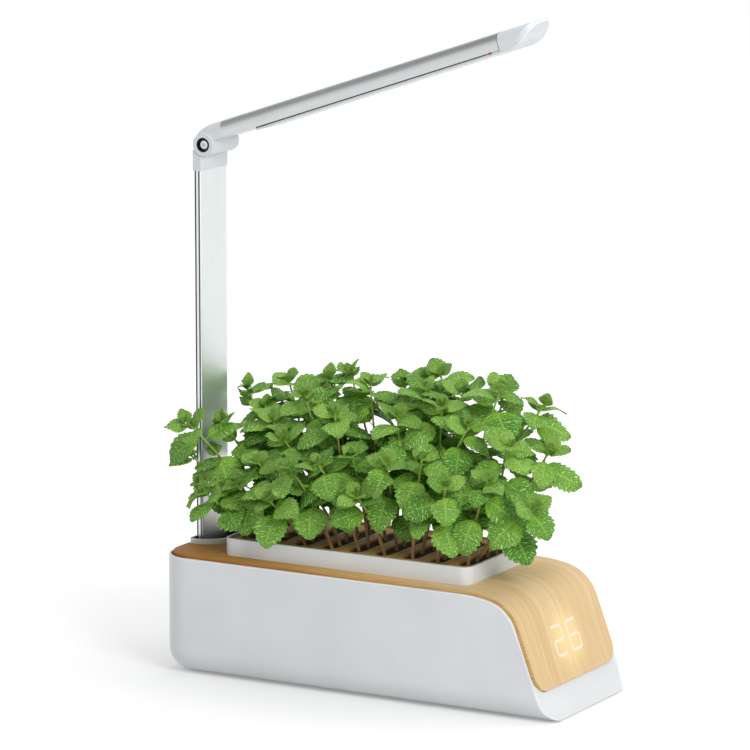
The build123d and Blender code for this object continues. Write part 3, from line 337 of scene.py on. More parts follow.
def mint_leaf(name, vein, body, young, highlight_colour, rib, root, roughness, depth_mm):
    """Living mint leaf: puckers stand between sunken veins, under a faint waxy sheen. The veins are painted
    dark as the shade in them, and the crests of the puckers painted pale as highlights.

    The leaf is yellower where it grows from the stalk, so each cluster has a bright middle.
    The UV map runs along the leaf, from stalk to tip, and across it. Each leaf has its own green."""
    made, tree, shader = new_material(name, IOR=1.42)
    uv = add(tree, "UVMap", uv_map="leaf")
    along = add(tree, "SeparateXYZ", {0: uv}, 0)
    across = add(tree, "SeparateXYZ", {0: uv}, 1)
    signed = add(tree, "Math", {0: across, 1: 2.0, 2: -1.0}, operation="MULTIPLY_ADD")
    aside = add(tree, "Math", {0: signed}, operation="ABSOLUTE")
    # A side vein runs from the midrib to every tooth, and gains 1.3 teeth on its way.
    step = add(tree, "Math", {0: along, 1: float(TEETH)}, operation="MULTIPLY")
    swept = add(tree, "Math", {0: aside, 1: -1.3, 2: step}, operation="MULTIPLY_ADD")
    saw = add(tree, "Math", {0: swept, 1: 0.5}, operation="PINGPONG")
    side_vein = add(tree, "ValToRGB", {0: saw}, stops=[(0.0, 0.8), (0.1, 0.4), (0.2, 0.0)])
    midrib = add(tree, "ValToRGB", {0: aside}, stops=[(0.0, 1.0), (0.04, 0.6), (0.09, 0.0)])
    # Finer veins close a net of long cells between them. A real cell is 1 to 2 mm wide, and these are
    # 2 by 4 mm, so that they show.
    where = add(tree, "TexCoord", out="Object")
    stray = add(tree, "TexNoise", {"Vector": where, "Scale": per_metre(5), "Detail": 2}, 1)
    cell = add(tree, "CombineXYZ", {
        0: add(tree, "Math", {0: swept, 1: 2.2}, operation="MULTIPLY"),
        1: add(tree, "Math", {0: signed, 1: 2.4}, operation="MULTIPLY"),
    })
    net = add(tree, "TexVoronoi", {"Scale": 1.0, "Vector": add(
        tree, "VectorMath", {0: stray, 1: (1.1, 1.1, 0.0), 2: cell}, operation="MULTIPLY_ADD",
    )}, feature="DISTANCE_TO_EDGE", voronoi_dimensions="2D")
    pucker = add(tree, "ValToRGB", {0: net}, stops=[(0.0, 0.0), (0.14, 0.45), (0.42, 1.0)])
    large_vein = add(tree, "Math", {0: midrib, 1: side_vein}, operation="MAXIMUM")
    raised = add(tree, "Math", {
        0: pucker, 1: add(tree, "Math", {0: 1.0, 1: large_vein}, operation="SUBTRACT"),
    }, operation="MULTIPLY")
    tone = add(tree, "Attribute", out="Fac", attribute_name="leaf_tone")
    patch = add(tree, "TexNoise", {"Vector": where, "Scale": per_metre(9), "Detail": 3})
    mottle = add(tree, "Math", {0: patch, 1: 0.5, 2: -0.25}, operation="MULTIPLY_ADD")
    shade = add(tree, "Math", {0: tone, 1: mottle}, operation="ADD")
    green = add(tree, "ValToRGB", {0: shade}, stops=[(0.0, linear(body)), (1.0, linear(young))])
    # The painted shade in the veins is deeper on leaves of lower tone.
    vein_shade_depth = add(tree, "Math", {0: tone, 1: -0.65, 2: 1.05}, operation="MULTIPLY_ADD")
    painted_vein_shade = add(tree, "Math", {
        0: add(tree, "Math", {0: raised, 1: -0.8, 2: 0.8}, operation="MULTIPLY_ADD"), 1: vein_shade_depth,
    }, operation="MULTIPLY")
    # Painted shade: the sunken veins are coloured dark.
    netted = add(tree, "Mix", {0: painted_vein_shade, 6: green, 7: linear(vein)}, 2, data_type="RGBA")
    # Painted highlight: the crests of the puckers are coloured pale.
    painted_highlight = add(tree, "ValToRGB", {0: raised}, stops=[(0.5, 0.0), (1.0, 0.5)])
    lit = add(tree, "Mix", {0: painted_highlight, 6: netted, 7: linear(highlight_colour)}, 2, data_type="RGBA")
    base = add(tree, "ValToRGB", {0: along}, stops=[(0.0, 0.85), (0.1, 0.7), (0.42, 0.0)])
    fresh = add(tree, "Mix", {0: base, 6: lit, 7: linear(root)}, 2, data_type="RGBA")
    feed(shader, {
        "Base Color": add(tree, "Mix", {
            0: add(tree, "Math", {0: midrib, 1: 0.5}, operation="MULTIPLY"), 6: fresh, 7: linear(rib),
        }, 2, data_type="RGBA"),
        "Roughness": add(
            tree, "Math", {0: raised, 1: -0.15, 2: roughness + 0.15}, operation="MULTIPLY_ADD",
        ),
        "Normal": add(tree, "Bump", {"Height": raised, "Distance": depth_mm * MM, "Strength": 0.9}),
    })
    return made


def mint_stem():
    """Living mint stem: woody brown where it leaves the sponge, olive higher up and green at its tip.

    Its fibres are 1.2 mm wide, about three times the real ones, so that they show."""
    made, tree, shader = new_material("mint_stem", IOR=1.42)
    height = add(tree, "SeparateXYZ", {0: add(tree, "UVMap", uv_map="leaf")}, 0)
    fibre = add(tree, "TexNoise", {"Detail": 3, "Scale": 1.0, "Vector": add(
        tree, "Mapping", {
            "Vector": add(tree, "TexCoord", out="Object"),
            "Scale": (per_metre(1.2), per_metre(1.2), per_metre(14)),
        },
    )})
    aged = add(tree, "Math", {0: fibre, 1: 0.3, 2: height}, operation="MULTIPLY_ADD")
    feed(shader, {
        "Base Color": add(tree, "ValToRGB", {0: aged}, stops=[
            (0.15, linear("#bb966a")), (0.45, linear("#a27e50")),
            (0.75, linear("#948c48")), (1.0, linear("#9cc05c")),
        ]),
        "Roughness": add(tree, "Math", {0: fibre, 1: 0.2, 2: 0.4}, operation="MULTIPLY_ADD"),
        "Normal": add(tree, "Bump", {"Height": fibre, "Distance": 0.2 * MM, "Strength": 0.6}),
    })
    return made


# ---------------------------------------------------------------- a finish for every carried-over node
# Where the shade in a recess is painted black on the plastic, in metres: the bolt's recess in the
# hinge, which runs across the arm, and the inside of the mast's upright collar.
HINGE_BORE = {
    "place": (-0.1723, 0.0, 0.4519), "across": (1.0, 0.0, 1.0), "radius": 0.00625, "rear": -0.19,
}
COLLAR_WELL = {
    "place": (-0.1827, 0.0, 0.0), "across": (1.0, 1.0, 0.0), "radius": 0.0295, "rear": -0.1834,
}

finishes = [
    # The moulded white of the tub and tray has a soft gloss. The hatch under it is coarser and duller.
    (moulded_abs("satin_white_abs", "#e0e4e5", "#e8ebec", 0.36), ["base_shell", "planting_tray"]),
    (moulded_abs("textured_white_abs", "#d5d8d8", "#dcdfdf", 0.55, 1.5, 0.06), ["service_cover"]),
    # Inner parts are plain grey or black, from coarse moulds, and don't shine.
    (moulded_abs("textured_grey_abs", "#9fa4a6", "#b0b5b7", 0.5, 1.2, 0.05),
     ["inner_tank", "mast_socket", "board_bracket"]),
    (moulded_abs("matt_black_abs", "#1c1d1e", "#2a2b2c", 0.5, 1.2, 0.05),
     # The filler strainer is black as painted shade: it stands for the deep shade inside the mast's collar.
     ["water_pump", "level_probe", "power_socket", "display_holder", "filler_strainer"]),
    # The lamp's plastic is a cool pale grey with the tub's soft gloss.
    (moulded_abs("pale_grey_abs", "#dde2e5", "#e6eaec", 0.36), ["mast_cap", "arm_tip_cap", "hinge_plug"]),
    (moulded_abs("pale_grey_abs_with_painted_bore_shade", "#dde2e5", "#e6eaec", 0.36, well=HINGE_BORE),
     ["arm_knuckle"]),
    (moulded_abs("pale_grey_abs_with_painted_well_shade", "#d8dcd6", "#e2e5e0", 0.36, well=COLLAR_WELL),
     ["mast_collar"]),
    # Nylon is creamier than ABS and waxy.
    (moulded_abs("turned_nylon", "#dcdad0", "#e6e4da", 0.45), ["friction_washers"]),
    (ash_veneer(), ["front_deck", "rear_deck"]),
    (oiled_beech(), ["planting_board"]),
    (lit_bars(), ["display_digits"]),
    (opal_acrylic(), ["arm_lens"]),
    # A milky clear tube, a green lacquered board with its tracks showing through, and black rubber
    # with a dusty bloom.
    (speckled("extruded_clear_silicone", "#c4c9c9", "#d8dcdc", 6, 0.3, 0.02, IOR=1.43), ["pump_tube"]),
    (speckled("etched_circuit_laminate", "#0f3f22", "#1d5a33", 1.5, 0.45, 0.03), ["control_board"]),
    (speckled("moulded_silicone_rubber", "#2b2c2c", "#3c3d3d", 4, 0.7), ["rubber_feet"]),
    # Yellow phosphor gel with grains in it, and a clear red lens with a glossy face.
    (speckled("cast_phosphor", "#d8b13c", "#f0d060", 0.8, 0.3, IOR=1.5), ["led_chips"]),
    (speckled("moulded_red_acrylic", "#a3130d", "#c4241a", 0.8, 0.2, 0.01, IOR=1.49), ["arm_indicator"]),
    # Peat foam is full of dark holes and has no gloss at all.
    (speckled("foamed_peat_sponge", "#1d130a", "#4a3420", 2.2, 0.95, 0.8), ["grow_sponges"]),
    (mast_metal(), ["mast_profile"]),
    # Brushed lines along the arm catch the light as a satin streak. Turned steel is finely lined all over.
    (worked_metal("brushed_anodised_aluminium", "#c6caca", "#dadedd", (70, 0.35, 0.35), 0.26, 0.14, 0.012,
                  ARM_TILT),
     ["arm_shell", "led_board"]),
    (worked_metal("turned_zinc_plated_steel", "#8d9294", "#b4b9bb", (0.6, 0.6, 0.6), 0.25, 0.15, 0.01),
     ["cover_screws", "deck_screws", "socket_screws", "hinge_nut"]),
    (worked_metal("turned_nickel_plated_steel", "#c4c9c9", "#dfe2e0", (0.6, 0.6, 0.6), 0.3, 0.1, 0.01),
     ["hinge_bolt"]),
]
finishes_by_name = {finish.name: finish for finish, _ in finishes}
for finish, names in finishes:
    for name in names:
        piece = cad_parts[name]
        for surface in piece.material_slots:
            surface.material = finish


# ---------------------------------------------------------------- the mint
# A leaf's rings, from stalk to tip, have a point at each place across it: five on the upper face and
# one below the midrib. Each tooth needs two rings, so the toothed edge takes most of its 98 faces.
STEPS = 2 * TEETH + 1
RING = np.array([-1.0, -0.5, 0.0, 0.5, 1.0, 0.0])
UNDER = np.array([0, 0, 0, 0, 0, 1])
SIDES = len(RING)
# Parts of the leaf's length: its stalk, how far a tooth points forwards and how high a pucker stands.
STALK, TOOTH_AHEAD, PUCKER = 0.12, 0.018, 0.018
# Parts of its half-width: how far a tooth stands out, and how far the blade arches.
TOOTH_OUT, ARCH = 0.075, 0.42
# The power that rounds its outline.
OUTLINE = 0.78
# The blade's thickness at its midrib, and half the width of the stalk and of the tip.
THICK_MM, STALK_MM, TIP_MM = 0.45, 0.75, 0.35
# What is settled for each leaf: its place and directions, its size in mm, its angles, and its tone.
LEAF_KEYS = (
    "root", "out", "side", "up", "length", "width", "pitch", "bend", "twist", "fold", "wave", "phase", "tone",
)
# One seeded source for all random draws, so that each run grows the same plants.
draw = np.random.default_rng(26)


def unit(vectors):
    """The vectors scaled to length one."""
    return vectors / np.linalg.norm(vectors, axis=-1, keepdims=True)


def leaf_skin(leaves):
    """The points of every leaf, as one array of leaf, step along it, place round it, and x, y, z, in mm.

    The midrib leaves the stem at `pitch` and bends down evenly through `bend`, as an arc of a circle.
    The half-width grows and falls as the 0.78th power of sin(pi q^0.78), q running from the end of the
    stalk to the tip. Across, the blade rises from the midrib as a V and arches over as a parabola. Every
    second step is a tooth that points forwards at the edge and a pucker halfway to it. One wave runs
    along the edges, up on one side and down on the other, and the blade rolls evenly about its midrib by
    `twist`. The underside joins the edges to a line just below the midrib."""
    root, out, side, up, length, width, pitch, bend, twist, fold, wave, phase = (
        leaves[key] for key in LEAF_KEYS[:-1]
    )
    along = np.concatenate([[0.0], np.linspace(STALK, 1.0, STEPS - 1)])
    q = np.clip((along - STALK) / (1 - STALK), 0, 1)
    half = np.sin(np.pi * q ** OUTLINE).clip(0) ** OUTLINE * width[:, None] / 2 + TIP_MM
    half[:, 0] = STALK_MM
    tooth = np.where(np.arange(STEPS) % 2, 1.0, -1.0) * np.sin(np.pi * q.clip(0.02, 0.98)) ** 0.3
    turn = pitch[:, None] - bend[:, None] * along
    run = (np.sin(pitch)[:, None] - np.sin(turn)) / bend[:, None] * length[:, None]
    rise = (np.cos(turn) - np.cos(pitch)[:, None]) / bend[:, None] * length[:, None]
    edge = np.abs(RING) ** 3
    middle = 1 - np.abs(2 * np.abs(RING) - 1)
    reach = half[:, :, None] * RING * (1 + TOOTH_OUT * tooth[None, :, None] * edge)
    forward = TOOTH_AHEAD * length[:, None, None] * (tooth[None, :, None] + 0.6) * edge
    lift = (
        half[:, :, None] * (fold[:, None, None] * np.abs(RING) - ARCH * RING ** 2)
        + PUCKER * length[:, None, None] * tooth[None, :, None] * middle
        + (wave[:, None] * np.sin(7 * along + phase[:, None]))[:, :, None] * RING ** 2 * np.sign(RING)
        - THICK_MM * UNDER
    )
    roll = twist[:, None] * along
    sideways = reach * np.cos(roll)[:, :, None] - lift * np.sin(roll)[:, :, None]
    outward = lift * np.cos(roll)[:, :, None] + reach * np.sin(roll)[:, :, None]
    ahead = run[:, :, None] + forward * np.cos(turn)[:, :, None] - outward * np.sin(turn)[:, :, None]
    above = rise[:, :, None] + forward * np.sin(turn)[:, :, None] + outward * np.cos(turn)[:, :, None]
    return (
        root[:, None, None, :] + ahead[..., None] * out[:, None, None, :]
        + sideways[..., None] * side[:, None, None, :] + above[..., None] * up[:, None, None, :]
    )


def stem_line(foot, apex, places):
    """Points and directions of a stem at the given places from 0, its foot, to 1.

    It is a quadratic curve that leaves the board nearly upright and leans out towards its apex."""
    knee = foot + (apex - foot) * np.array([0.3, 0.3, 0.55])
    q = places[:, None]
    points = (1 - q) ** 2 * foot + 2 * q * (1 - q) * knee + q ** 2 * apex
    return points, unit(2 * (1 - q) * (knee - foot) + 2 * q * (apex - knee))


def stem_skin(foot, apex, thick, rings=13):
    """A tapering tube along a stem, its rings square to it, and its height from 0 to 1 for each point."""
    places = np.linspace(0, 1, rings)
    points, heading = stem_line(foot, apex, places)
    across = unit(np.cross(heading, [0.0, 1.0, 0.05]))
    over = np.cross(heading, across)
    turn = -2 * np.pi * np.arange(SIDES) / SIDES
    radius = thick / 2 * (1 - 0.5 * places)[:, None, None]
    skin = points[:, None] + radius * (
        np.cos(turn)[None, :, None] * across[:, None] + np.sin(turn)[None, :, None] * over[:, None]
    )
    return skin, np.repeat(places[:, None], SIDES, 1)


def closed_tubes(skins, first=0):
    """Faces of tubes given as arrays of tube, ring and side: quads between rings and a cap at each end.

    First is the number of the tubes' first point in the mesh."""
    count, rings, sides = skins.shape[:3]
    index = first + np.arange(count * rings * sides).reshape(count, rings, sides)
    beside = np.roll(index, -1, axis=2)
    quads = np.stack([index[:, :-1], index[:, 1:], beside[:, 1:], beside[:, :-1]], axis=-1).reshape(-1, 4)
    return quads.tolist() + index[:, 0].tolist() + index[:, -1, ::-1].tolist()


def new_piece(name, points, faces, body, materials):
    """Add a smooth piece of the given points, in mm, and faces, that rides on a body."""
    mesh = bpy.data.meshes.new(name)
    mesh.from_pydata((points.reshape(-1, 3) * MM).tolist(), [], faces)
    for material in materials:
        mesh.materials.append(material)
    mesh.polygons.foreach_set("use_smooth", np.ones(len(faces), bool))
    piece = bpy.data.objects.new(name, mesh)
    bpy.context.scene.collection.objects.link(piece)
    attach(piece, body)
    return piece, mesh


# What the leaves keep clear of, in mm, each with a little room round it.
MAST_FRONT, MAST_SIDE = -170.5, 27.0
TRAY_MIDDLE, TRAY_END, TRAY_SIDE, TRAY_TOP = -15.5, 122.0, 59.5, 121.5
DECK_FRONT, DECK_SIDE, DECK_TOP = 150.0, 76.0, 108.5
ROOM_REAR, ROOM_FRONT, ROOM_SIDE = -203.0, 198.0, 84.0


def misplaced(skin):
    """True for each leaf that meets the mast, the tray, the deck or the edge of the room that it has."""
    x, y, z = (skin[..., axis].reshape(len(skin), -1) for axis in range(3))
    aside = np.abs(y)
    mast = (x < MAST_FRONT) & (aside < MAST_SIDE)
    tray = (np.abs(x - TRAY_MIDDLE) < TRAY_END) & (aside < TRAY_SIDE) & (z < TRAY_TOP)
    deck = (aside < DECK_SIDE) & (x < DECK_FRONT) & (z < DECK_TOP)
    outside = (aside > ROOM_SIDE) | (x < ROOM_REAR) | (x > ROOM_FRONT)
    return (mast | tray | deck | outside).any(axis=1)


# Depth of each pair of leaves below the apex, its leaves' length, and the slope and bend of a leaf, in
# mm and degrees.
PAIRS = [
    (0, 8, 76, 25), (2, 15, 62, 35), (5, 23, 44, 45), (10, 31, 26, 55), (20, 37, 12, 60),
    (38, 38, 4, 62), (60, 35, -4, 56), (84, 32, -10, 50), (108, 27, -16, 40),
]
# The plants lean to the side that the window is on.
WINDOW = np.array([0.22, -0.55, 0.0])
# In mm: from row to row, the first row's place, half a row's width, the board's top, and how far up a
# stem stays bare.
ROW_PITCH, FIRST_ROW, ROW_HALF, BOARD_TOP, BARE_STEM = 26.198, -120.3, 34.0, 118.5, 34.0
# How much smaller a crowded leaf gets in each round, and by how many radians it folds up.
SHRINKS, FOLD_UP = (0.85, 0.8, 0.75, 0.7), 0.22
# Apexes of the stems of each row, from the near side, in mm.
ROWS = [
    [
        (-150, -60, 158), (-183, -30, 183), (-181, -38, 213), (-162, -10, 209), (-164, 35, 234),
        (-145, 62, 218),
    ],
    [(-161, -45, 164), (-112, -35, 185), (-118, 0, 215), (-138, 20, 223), (-128, 45, 240)],
    [(-88, -62, 160), (-123, -50, 169), (-96, -20, 205), (-92, 10, 237), (-105, 62, 232)],
    [(-70, -55, 188), (-66, -35, 172), (-51, -10, 229), (-62, 12, 222), (-85, 40, 248)],
    [(-45, -50, 193), (-20, -35, 200), (-36, 25, 250), (-70, 50, 253), (-18, 55, 245)],
    [(0, -62, 172), (24, -55, 202), (10, -10, 232), (21, 20, 252), (5, 50, 255)],
    [(50, -40, 205), (79, -10, 231), (48, 0, 243), (52, 30, 250), (22, 45, 260)],
    [(84, -60, 189), (60, -55, 168), (93, 20, 259), (119, 50, 242), (78, 55, 250)],
    [(118, -50, 195), (158, -40, 175), (126, -25, 221), (100, -20, 172), (135, 30, 208)],
]
# The upper face is darker and glossier, and its puckers stand higher, than the downy under face's.
plant_finishes = (
    mint_leaf(
        "mint_leaf_upper_face", vein="#2a6a12", body="#6cbc30", young="#bef46a", highlight_colour="#dcf8b0",
        rib="#c4ec7c", root="#b2f04a", roughness=0.34, depth_mm=1.3,
    ),
    mint_leaf(
        "mint_leaf_under_face", vein="#6aa036", body="#84be46", young="#b4de66", highlight_colour="#c4e68e",
        rib="#cce898", root="#aede50", roughness=0.55, depth_mm=0.6,
    ),
    mint_stem(),
)


def grow(number, apexes):
    """One row of mint: its stems and all their leaves, each a closed surface, as a single piece."""
    row_x = FIRST_ROW + ROW_PITCH * number
    leaves = {key: [] for key in LEAF_KEYS}
    stems, heights = [], []
    for place, apex in zip(np.linspace(-ROW_HALF, ROW_HALF, len(apexes)), apexes):
        apex = np.array(apex, float)
        foot = np.array([row_x + draw.uniform(-2, 2), place + draw.uniform(-5, 5), BOARD_TOP - 2])
        reach = np.linalg.norm(apex - foot)
        skin, height = stem_skin(foot, apex, draw.uniform(3.0, 3.8))
        stems.append(skin)
        heights.append(height)
        spin = draw.uniform(0, np.pi)
        for order, (below, length, slope, droop) in enumerate(PAIRS):
            if reach - below < BARE_STEM:
                continue
            points, heading = stem_line(foot, apex, np.array([1 - below / reach]))
            # Young pairs near the apex face along the stem, and lower ones more to the light.
            follow = heading[0] * (1.2 if order < 4 else 0.6)
            up = unit(np.array([0, 0, 1.0]) + follow + WINDOW * draw.uniform(0.5, 1.7))
            first = unit(np.array([1.0, 0, 0]) - up[0] * up)
            second = np.cross(up, first)
            # Each pair stands roughly square to the one above it.
            spin += np.pi / 2 + draw.normal(0, 0.22)
            for half_turn in (0, np.pi):
                turn = spin + half_turn + draw.normal(0, 0.12)
                out = np.cos(turn) * first + np.sin(turn) * second
                size = length * draw.uniform(0.85, 1.12)
                # Pairs nearer the apex are paler: partly because young leaves are, and partly as painted
                # shade, the lower leaves darkened for the canopy over them.
                young = np.clip(1 - order / 6, 0, 1)
                for key, value in zip(LEAF_KEYS, (
                    points[0], out, np.cross(up, out), up, size, size * draw.uniform(0.70, 0.86),
                    np.radians(slope + draw.normal(0, 9)), np.radians(droop * draw.uniform(0.7, 1.4)),
                    draw.normal(0, 0.3), draw.uniform(0.3, 0.55), draw.normal(0, 0.045) * size,
                    draw.uniform(0, 6.3), np.clip(0.3 + 0.55 * young + draw.normal(0, 0.15), 0, 1),
                )):
                    leaves[key].append(value)
    leaves = {key: np.array(values) for key, values in leaves.items()}
    # A leaf that has no room is folded up closer to its stem and made smaller, and left out at last.
    for shrink in SHRINKS:
        crowded = misplaced(leaf_skin(leaves))
        leaves["length"][crowded] *= shrink
        leaves["width"][crowded] *= shrink
        leaves["pitch"][crowded] += FOLD_UP
    kept = ~misplaced(leaf_skin(leaves))
    leaves = {key: values[kept] for key, values in leaves.items()}
    blades, stalks = leaf_skin(leaves), np.array(stems)
    points = np.concatenate([blades.reshape(-1, 3), stalks.reshape(-1, 3)])
    leaf_faces = closed_tubes(blades)
    faces = leaf_faces + closed_tubes(stalks, blades.size // 3)
    name = f"mint_plants_{number + 1}"
    plants, mesh = new_piece(name, points, faces, "planter", plant_finishes)
    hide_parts(f"mint_row_{number + 1}")
    steps = np.broadcast_to(np.linspace(0, 1, STEPS)[None, :, None], blades.shape[:3])
    across = np.broadcast_to((RING + 1) / 2, blades.shape[:3])
    climb = np.array(heights)
    round_stem = np.broadcast_to(np.arange(SIDES) / SIDES, climb.shape)
    uv = np.stack([
        np.concatenate([steps.ravel(), climb.ravel()]),
        np.concatenate([across.ravel(), round_stem.ravel()]),
    ], axis=1)
    corners = np.empty(len(mesh.loops), np.int32)
    mesh.loops.foreach_get("vertex_index", corners)
    mesh.uv_layers.new(name="leaf").data.foreach_set("uv", uv[corners].ravel())
    tone = np.concatenate([np.repeat(leaves["tone"], STEPS * SIDES), np.zeros(stalks.size // 3)])
    mesh.attributes.new("leaf_tone", "FLOAT", "POINT").data.foreach_set("value", tone)
    # Quads come in turn round the leaf, four above and two below. The caps of the leaves follow, and then
    # the stems.
    finish = np.full(len(faces), 2)
    quads = len(blades) * (STEPS - 1) * SIDES
    finish[:len(leaf_faces)] = 0
    finish[:quads] = np.tile([0, 0, 0, 0, 1, 1], quads // SIDES)
    mesh.polygons.foreach_set("material_index", finish)
    # The thin edge of a leaf stays crisp.
    mesh.set_sharp_from_angle(angle=np.radians(70))


for number, apexes in enumerate(ROWS):
    grow(number, apexes)


# ---------------------------------------------------------------- trim
def bar(path, upright, width, height, sides=10):
    """The rings of an oval bar along a path, which may be wider or higher at some places than at others.

    A ring's point is its centre, plus half the width times the cosine of the point's angle across, plus
    half the height times its sine over the path. Across is square to the path and to `upright`, and
    over is square to both."""
    heading = unit(np.gradient(path, axis=0))
    across = unit(np.cross(heading, upright))
    over = np.cross(heading, across)
    turn = -2 * np.pi * np.arange(sides) / sides
    wide, high = (np.broadcast_to(size, len(path))[:, None, None] / 2 for size in (width, height))
    return (
        path[:, None] + wide * np.cos(turn)[None, :, None] * across[:, None]
        + high * np.sin(turn)[None, :, None] * over[:, None]
    )


def add_bar(name, skin, body, material):
    """Add a piece that is one closed bar."""
    new_piece(name, skin, closed_tubes(skin[None]), body, [material])


def both_sides(near):
    """The near half of a line, and then its mirror image on the far side, run backwards."""
    return np.concatenate([near, near[::-1] * (1, -1, 1)])


# The edges that are polished in the mould mirror the light, and are coloured whiter than the shell as a
# painted highlight; the gaskets are the feet's dull rubber, and the side light has the indicator's gloss.
polished_abs_painted_highlight = moulded_abs("polished_white_abs_painted_highlight", "#f2f4f5", "#f8f9fa", 0.2)
gasket_rubber = finishes_by_name["moulded_silicone_rubber"]
red_acrylic = finishes_by_name["moulded_red_acrylic"]

# The shell's rim, in mm and degrees: flat along the top, then the brow, the knee, the straight slope
# and the hollow flare of the toe.
REAR_X, HALF_WIDTH, RIM_Z, REAR_CORNER = -190.0, 74.5, 102.5, 28.0
BROW_X, BROW_RADIUS, BROW_ANGLE, KNEE_RADIUS, SLOPE_ANGLE = 102.58, 129.0, 12.8, 34.2, 69.4
FLARE_START, FLARE_RADIUS, TOE_ANGLE = (179.10, 15.45), 25.0, 30.0
BELLY_RADIUS, BELLY_Z = 20.0, 21.2
# The polished bead along it, and how far its middle lies inside the rim's edge.
BEAD, BEAD_INSET = 1.7, 0.65


def rim_line(inset):
    """Half of the rim's outer edge, from the rear's middle round the corner and down the near front,
    moved inwards by the inset.

    Each arc is its centre plus its radius times the sine and cosine of the angle turned so far. Below
    the belly's centre the side follows the belly's arc: half-width = middle + sqrt(R^2 - depth^2)."""
    corner = np.radians(np.linspace(0, 90, 13))
    reach = REAR_CORNER - inset
    rear = np.stack([
        REAR_X + REAR_CORNER - reach * np.cos(corner),
        REAR_CORNER - HALF_WIDTH - reach * np.sin(corner), np.full(13, RIM_Z - inset),
    ], axis=1)
    turns = [np.radians(np.linspace(*span)) for span in (
        (0, BROW_ANGLE, 9), (BROW_ANGLE, SLOPE_ANGLE, 17), (SLOPE_ANGLE, TOE_ANGLE, 9),
    )]
    brow, knee, flare = (np.stack([np.sin(turn), np.cos(turn)], axis=1) for turn in turns)
    middle = np.array([BROW_X, RIM_Z - BROW_RADIUS])
    inner = middle + (BROW_RADIUS - KNEE_RADIUS) * brow[-1]
    outer = np.array(FLARE_START) + FLARE_RADIUS * flare[0]
    front = np.concatenate([
        middle + (BROW_RADIUS - inset) * brow, inner + (KNEE_RADIUS - inset) * knee[1:],
        outer - (FLARE_RADIUS + inset) * flare,
    ])
    depth = (BELLY_Z - front[:, 1]).clip(0)
    spread = HALF_WIDTH - BELLY_RADIUS + np.sqrt((BELLY_RADIUS - inset) ** 2 - depth ** 2)
    side = np.stack([front[:, 0], -spread, front[:, 1]], axis=1)
    return np.concatenate([[[REAR_X + inset, 0, RIM_Z - inset]], rear, side])


half_rim = rim_line(BEAD_INSET)
rim = np.concatenate([half_rim[::-1], half_rim[1:] * (1, -1, 1)])
# Painted highlight: the whiter bead stands for the light along the rim's edge.
add_bar("rim_bead", bar(rim, (0, 0, 1.0), BEAD, BEAD), "base", polished_abs_painted_highlight)

# The arm's own frame, in mm: along the arm, across it and up from it, all from the hinge.
HINGE = np.array([-172.3, 0.0, 451.9])
ARM_ALONG = np.array([np.cos(ARM_TILT), 0.0, np.sin(ARM_TILT)])
ARM_ACROSS = np.array([0.0, 1.0, 0.0])
ARM_UP = np.array([-np.sin(ARM_TILT), 0.0, np.cos(ARM_TILT)])
# Half the arm's width, the height of its top and the radius of its shoulders.
ARM_HALF, ARM_TOP, ARM_SHOULDER = 21.0, 15.4, 9.0


def on_arm(along, across, up):
    """Points of the garden for places in the arm's own frame."""
    along, across, up = np.broadcast_arrays(along, across, up)
    return (
        HINGE + along[:, None] * ARM_ALONG + across[:, None] * ARM_ACROSS + up[:, None] * ARM_UP
    )


# The tip's sweep in the arm's middle plane, the radius of its rounded end as seen from above, and how
# thick its ridge is and how deep it sits.
TIP_CURVE = np.array([(306.0, -1.6), (323.0, -1.6), (326.0, 8.9), (337.0, 13.4)])
TIP_ROUND, RIDGE, RIDGE_INSET, RIDGE_LIFT = 19.0, 1.2, 0.3, 0.2


def ridge_line():
    """The ridge of the tip, from its near foot round the end to its far foot.

    A cubic curve in the arm's middle plane is spread to the cap's half-width, which is the least of the
    arcs of the shoulder and of the rounded end: half-width = middle + sqrt(R^2 - depth^2)."""
    t = np.linspace(0.04, 1, 25)[:, None]
    along, up = (
        (1 - t) ** 3 * TIP_CURVE[0] + 3 * t * (1 - t) ** 2 * TIP_CURVE[1]
        + 3 * t ** 2 * (1 - t) * TIP_CURVE[2] + t ** 3 * TIP_CURVE[3]
    ).T
    past_shoulder = (up - ARM_TOP + ARM_SHOULDER).clip(0)
    past_round = (along - TIP_CURVE[3, 0] + TIP_ROUND).clip(0)
    at_shoulder = ARM_HALF - ARM_SHOULDER + np.sqrt((ARM_SHOULDER ** 2 - past_shoulder ** 2).clip(0))
    at_end = ARM_HALF - TIP_ROUND + np.sqrt((TIP_ROUND ** 2 - past_round ** 2).clip(0))
    half_width = np.minimum(at_shoulder, at_end) - RIDGE_INSET
    return both_sides(on_arm(along - RIDGE_LIFT, -half_width, up + RIDGE_LIFT))


# The ridge thins out at its feet, as the 0.4th power of a sine.
ridge = ridge_line()
swell = RIDGE * np.sin(np.pi * np.linspace(0.03, 0.97, len(ridge))) ** 0.4
# Painted highlight: the whiter ridge stands for the light along the tip's rounded edge.
add_bar("tip_ridge", bar(ridge, ARM_UP, swell, swell), "lamp_arm", polished_abs_painted_highlight)

# Where the tip cap meets the shell, how far up the gasket starts, how deep it sits and how thick it is.
JOINT_PLACE, JOINT_FOOT, JOINT_INSET, JOINT_GASKET = 300.0, 0.8, 0.2, 0.7


def joint_line():
    """The shell's outline across the arm: up the near side, round the shoulder's arc and down again."""
    turn = np.radians(np.linspace(0, 90, 9))
    reach = ARM_SHOULDER - JOINT_INSET
    outward = np.append(ARM_HALF - JOINT_INSET, ARM_HALF - ARM_SHOULDER + reach * np.cos(turn))
    upward = np.append(JOINT_FOOT, ARM_TOP - ARM_SHOULDER + reach * np.sin(turn))
    return both_sides(on_arm(JOINT_PLACE, -outward, upward))


